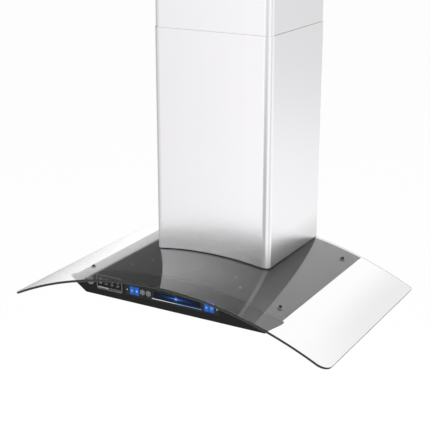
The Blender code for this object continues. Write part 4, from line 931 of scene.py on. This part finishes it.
filter_steel = brushed("filter_steel", 0.74, "Y", gloss=0.22)
channels = Grower("baffle_channels", Kind="Object", Finish="Material")
kind = channels.given["Kind"].node("GeometryNodeObjectInfo", None, {"Object": channels.given["Kind"]}, 4)
channels.close(kind.node("GeometryNodeInstanceOnPoints", None,
                         {"Points": channels.given["Start"], "Instance": kind}))
CHANNEL_HALF, CHANNEL_HEIGHT, CHANNEL_SHEET, CHANNEL_BEND = 0.0100, 0.0042, 0.0008, 0.0014
CHANNEL_COUNT, CHANNEL_PITCH, CHANNEL_LAP = 7, 0.030, 0.003
FILTER_SHEET, SIDE_RIM, FRONT_RIM, TAB_REACH = 0.0008, 0.012, 0.026, 0.008
GRIP_HALF, RIB_PITCH, RIB_COUNT = 0.0040, 0.0030, 11


def grown_copies(name, kind, points, finish, body, slot):
    """One piece of copies of a small shape at points; the shape itself goes."""
    grown = channels.piece(name, points, Kind=kind, Finish=finish.material)
    bpy.data.objects.remove(kind)
    settle(grown, body, slot)


for side in ("left", "right"):
    low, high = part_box(f"filter_{side}")
    middle_x = (low.x + high.x) / 2
    rear_y, front_y = high.y - TAB_REACH, low.y
    outline = rounded_rectangle((high.x - low.x) / 2, (rear_y - front_y) / 2, 0.003,
                                (middle_x, (rear_y + front_y) / 2))
    edge = rounded_edge(high.z - low.z, 0.0012, 0.0004, steps=4, flat=0.0003)
    rim = plate(f"{side}_filter_rim", outline, edge, lambda a, b, level: (a, b, low.z + level),
                filter_steel.material)
    cut(rim, box_tool((low.x + SIDE_RIM, front_y + FRONT_RIM, low.z - 0.01),
                      (high.x - SIDE_RIM, rear_y - SIDE_RIM, high.z + 0.01)),
        box_tool((low.x + FILTER_SHEET, front_y + FILTER_SHEET, low.z + FILTER_SHEET),
                 (high.x - FILTER_SHEET, rear_y - FILTER_SHEET, high.z - FILTER_SHEET)))
    settle(rim, f"{side}_filter", "aluminium", f"filter_{side}")
    length = rear_y - front_y - FRONT_RIM - SIDE_RIM + 2 * CHANNEL_LAP
    start_y = front_y + FRONT_RIM - CHANNEL_LAP
    for layer, count, z, flip in (("lower", CHANNEL_COUNT, low.z + 0.0010, 1),
                                  ("upper", CHANNEL_COUNT - 1, high.z - 0.0010, -1)):
        path = [(-CHANNEL_HALF, CHANNEL_HEIGHT), (-CHANNEL_HALF, 0), (CHANNEL_HALF, 0),
                (CHANNEL_HALF, CHANNEL_HEIGHT)]
        path = fillet(path, {1: CHANNEL_BEND, 2: CHANNEL_BEND}, steps=4, flat=0.0002)
        path = [(a, b * flip) for a, b in path]
        channel = bent_sheet("channel", path, CHANNEL_SHEET * flip, lambda a, b, level: (a, level, b),
                             (0, 0.001, length - 0.001, length), filter_steel.material)
        places = [(middle_x + (number - (count - 1) / 2) * CHANNEL_PITCH, start_y, z)
                  for number in range(count)]
        grown_copies(f"{side}_filter_{layer}_channels", channel, places, filter_steel, f"{side}_filter",
                     "aluminium")
    tab_points = [(middle_x + reach, rear_y - 0.0005, low.z + 0.0030) for reach in (-0.035, 0.035)]
    tab_outline = rounded_rectangle(0.008, 0.0044, 0.002, (0, 0.0040), steps=4)
    tab = plate("tab", tab_outline, rounded_edge(0.0016, 0.0003, 0.0003, steps=2, flat=0.0001), at_level,
                filter_steel.material)
    grown_copies(f"{side}_filter_tabs", tab, tab_points, filter_steel, f"{side}_filter", "aluminium")

    low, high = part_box(f"filter_latch_{side}")
    middle_x = (low.x + high.x) / 2
    outline = rounded_rectangle((high.x - low.x) / 2, GRIP_HALF, 0.002, (middle_x, low.y + GRIP_HALF),
                                steps=4)
    grip = plate(f"{side}_latch_grip", outline, rounded_edge(0.0050, 0.0008, 0.0008, steps=3, flat=0.0002),
                 lambda a, b, level: (a, b, low.z + 0.0036 + level), moulded.material)
    settle(grip, f"{side}_latch", "black_plastic", f"filter_latch_{side}")
    rib = plate("rib", rounded_rectangle(0.0006, 0.0030, 0.0005, steps=3),
                rounded_edge(0.0041, 0.0004, steps=2, flat=0.0001), at_level, moulded.material)
    rib_points = [(middle_x + (number - (RIB_COUNT - 1) / 2) * RIB_PITCH, low.y + GRIP_HALF, low.z)
                  for number in range(RIB_COUNT)]
    grown_copies(f"{side}_latch_ribs", rib, rib_points, moulded, f"{side}_latch", "black_plastic")


# ---------------------------------------------------------------- lamps
# Two recessed downlights: a turned rim of bright steel that laps the panel, round a frosted lens with a
# fine prism pattern on it. They are off.

rim_steel = Finish("bright_lamp_rim", Metallic=1.0)
rim_steel.mottle((1200, 1200, 40), grey(0.62), grey(0.74), 0.16, 0.08)
frosted = Finish("frosted_lamp_lens", Specular_IOR_Level=0.5)
prisms = frosted.place.node("ShaderNodeTexVoronoi", {"feature": "SMOOTH_F1"},
                            {"Vector": frosted.place, "Scale": 420.0, "Smoothness": 0.4})
frosted.set(Base_Color=prisms.mix(grey(0.72), grey(0.56)), Roughness=0.25 + 0.15 * prisms)
frosted.bump(prisms, 0.4, 0.0003)
for side in ("left", "right"):
    low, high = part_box(f"lamp_housing_{side}")
    centre = ((low.x + high.x) / 2, (low.y + high.y) / 2, low.z)
    top = high.z - low.z
    rim = lathe(f"{side}_lamp_rim", [
        (0.0264, 0.0004), (0.0270, 0.0001), (0.0282, 0), (0.0326, 0.0003), (0.0337, 0.0008), (0.0340, 0.0014),
        (0.0340, 0.0017), (0.0290, 0.0017), (0.0290, top - 0.001), (0.0280, top), (0.0006, top),
        (0.0006, top - 0.0015), (0.0272, top - 0.0015), (0.0275, top - 0.002), (0.0275, 0.0024),
        (0.0264, 0.0020)], rim_steel.material, centre, steps=64)
    settle(rim, "root", "bright_steel", f"lamp_housing_{side}")
    lens_piece = lathe(f"{side}_lamp_glass", [
        (0, 0.0003), (0.012, 0.0003), (0.022, 0.00045), (0.0250, 0.0006), (0.0259, 0.0009), (0.0260, 0.0014),
        (0.0260, 0.0019), (0, 0.0019)], frosted.material, centre, steps=64)
    settle(lens_piece, "root", "lamp_lens", f"lamp_lens_{side}")


# ---------------------------------------------------------------- blower, collar and fittings
# Inside the covers: a galvanised blower box with a moulded scroll, a forward-curved impeller on a motor, a
# collar with two spring flaps, the capacitor, cable gland, junction box, wall bracket and cover clips.

dark_metal = Finish("motor_enamel", Metallic=0.6)
dark_metal.bump(dark_metal.mottle(500, grey(0.10), grey(0.16), 0.38, 0.16, detail=3), 0.2, 0.00006)
coat(dark_metal, "motor")
coat(cap_steel, "motor_shaft", "impeller_nut", "damper_pin", "bracket_screw_left", "bracket_screw_right")
coat(filter_steel, "damper_flap_left", "damper_flap_right")
white_can = Finish("white_plastic_can", Specular_IOR_Level=0.45)
white_can.mottle(60, grey(0.62), grey(0.70), 0.30, 0.12)
coat(white_can, "motor_capacitor", "junction_box_lid")
coat(moulded, "impeller")


# ---------------------------------------------------------------- studio
# A pale floor and a white sky. What the steel and the glass mirror differs by direction, as round soft boxes
# and dark cards in a studio; what is seen straight, or straight through the glass, is plain white.


class Directions:
    """Masks by bearing and elevation, in degrees, from a direction's x, y and z. z may be a number."""

    def __init__(self, x, y, z):
        flat = (x * x + y * y) ** 0.5
        self.azimuth = y.math("ARCTAN2", y, x) * (180 / math.pi)
        self.elevation = flat.math("ARCTAN2", z, flat) * (180 / math.pi)

    def bearing(self, centre, half_width, soft):
        """1 within half_width of a bearing, 0 beyond the soft edge."""
        turn = (self.azimuth - centre).math("WRAP", self.azimuth - centre, 180, -180).size()
        return turn.ramp(half_width, half_width + soft, 1.0, 0.0)

    def tilt(self, centre, to_low, to_high, reach):
        """A straight change from one value to another across a bearing."""
        turn = (self.azimuth - centre).math("WRAP", self.azimuth - centre, 180, -180)
        return turn.ramp(-reach, reach, to_low, to_high, smooth=False)


def mirrored_only(tree, level, plain_level):
    """plain_level for what is seen straight or through the glass, and level for reflections."""
    rays = tree.nodes.new("ShaderNodeLightPath")
    seen = Shade(rays.outputs["Is Camera Ray"])
    through = Shade(rays.outputs["Is Transmission Ray"]) * (Shade(rays.outputs["Glossy Depth"]) < 0.5)
    plain = seen.math("MAXIMUM", seen, through)
    glossy = Shade(rays.outputs["Is Glossy Ray"]) * (1.0 - plain)
    return plain * plain_level + glossy * level + (1.0 - plain) * (1.0 - glossy) * (0.8 * plain_level)


FLOOR_Z = -1.6
HOOD_ABOVE_FLOOR = 1.9
floor_data = bpy.data.meshes.new("floor")
floor_data.from_pydata([(x, y, FLOOR_Z) for x, y in ((-60, -60), (60, -60), (60, 60), (-60, 60))], [],
                       [(0, 1, 2, 3)])
floor = bpy.data.objects.new("floor", floor_data)
scene.collection.objects.link(floor)
pale = Finish("pale_floor", Base_Color=grey(0.2), Roughness=1.0, Specular_IOR_Level=0.0,
              Emission_Color=grey(0.82))
floor_data.materials.append(pale.material)
below = Directions(pale.place.axis("X"), pale.place.axis("Y"), -HOOD_ABOVE_FLOOR)
far = below.elevation.ramp(-16, -9)
ground = below.tilt(-120, 0.62, 1.36, 16) * below.bearing(-120, 20, 6)
ground = ground + (1.0 - below.bearing(-120, 20, 6)) * 1.15
ground = ground * (1.0 - (0.72 - 0.40 * far) * below.bearing(-72, 17, 14))
ground = ground * (1.0 - 0.42 * below.bearing(1, 6, 8))
ground = ground * (1.0 - 0.58 * below.bearing(172, 30, 14))
ground = ground * (1.0 - below.bearing(66, 22, 8) * below.tilt(64, 0.0, 0.22, 12))
ground = ground * (1.0 - 0.24 * far * below.bearing(64, 24, 8))
pale.set(Emission_Strength=mirrored_only(pale.tree, ground, 1.0))

world = bpy.data.worlds.new("studio")
scene.world = world
world.use_nodes = True
sky_tree = world.node_tree
way = Shade(sky_tree.nodes.new("ShaderNodeTexCoord").outputs["Generated"])
around = Directions(way.axis("X"), way.axis("Y"), way.axis("Z"))
high = around.elevation
sky = 1.0 - 0.88 * (around.bearing(129, 42, 12) * high.ramp(3.9, 5.8) * high.ramp(23, 26, 1.0, 0.0))
sky = sky * (1.0 - 0.70 * around.bearing(50, 32, 10) * high.ramp(-1, 9) * high.ramp(30, 36, 1.0, 0.0))
sky = sky * (1.0 - 0.75 * around.bearing(-135, 62, 25) * high.ramp(24, 33))
sky = sky * (1.0 + 0.15 * around.bearing(-125, 25, 20))
sky = sky * (1.0 + 0.20 * around.bearing(92, 14, 6) * high.ramp(24, 27))
background = sky_tree.nodes["Background"]
sky_tree.links.new(mirrored_only(sky_tree, sky, 1.0).socket, background.inputs["Strength"])
background.inputs["Color"].default_value = (1, 1, 1, 1)

LIGHT_SIZE, LIGHT_AIM = 2.2, Vector((0, -0.2, 0.3))
for name, place, power in (("key", (-2.6, -3.2, 2.8), 60), ("fill", (3.2, -2.4, 2.2), 40)):
    lamp_data = bpy.data.lights.new(name, "AREA")
    lamp_data.size = LIGHT_SIZE
    lamp_data.energy = power
    lamp = bpy.data.objects.new(name, lamp_data)
    lamp.location = place
    lamp.rotation_euler = (LIGHT_AIM - Vector(place)).to_track_quat("-Z", "Y").to_euler()
    lamp.visible_glossy = False
    scene.collection.objects.link(lamp)

CAMERA_PLACE, CAMERA_DOWN, CAMERA_TURN, CAMERA_LENS = (1.28699, -2.52515, 1.01756), 0.32304, 0.51882, 88.76
camera_data = bpy.data.cameras.new("camera")
camera_data.lens = CAMERA_LENS
camera_data.clip_start = 0.05
camera = bpy.data.objects.new("camera", camera_data)
camera.location = CAMERA_PLACE
camera.rotation_euler = (math.pi / 2 - CAMERA_DOWN, 0, CAMERA_TURN)
scene.collection.objects.link(camera)
scene.camera = camera
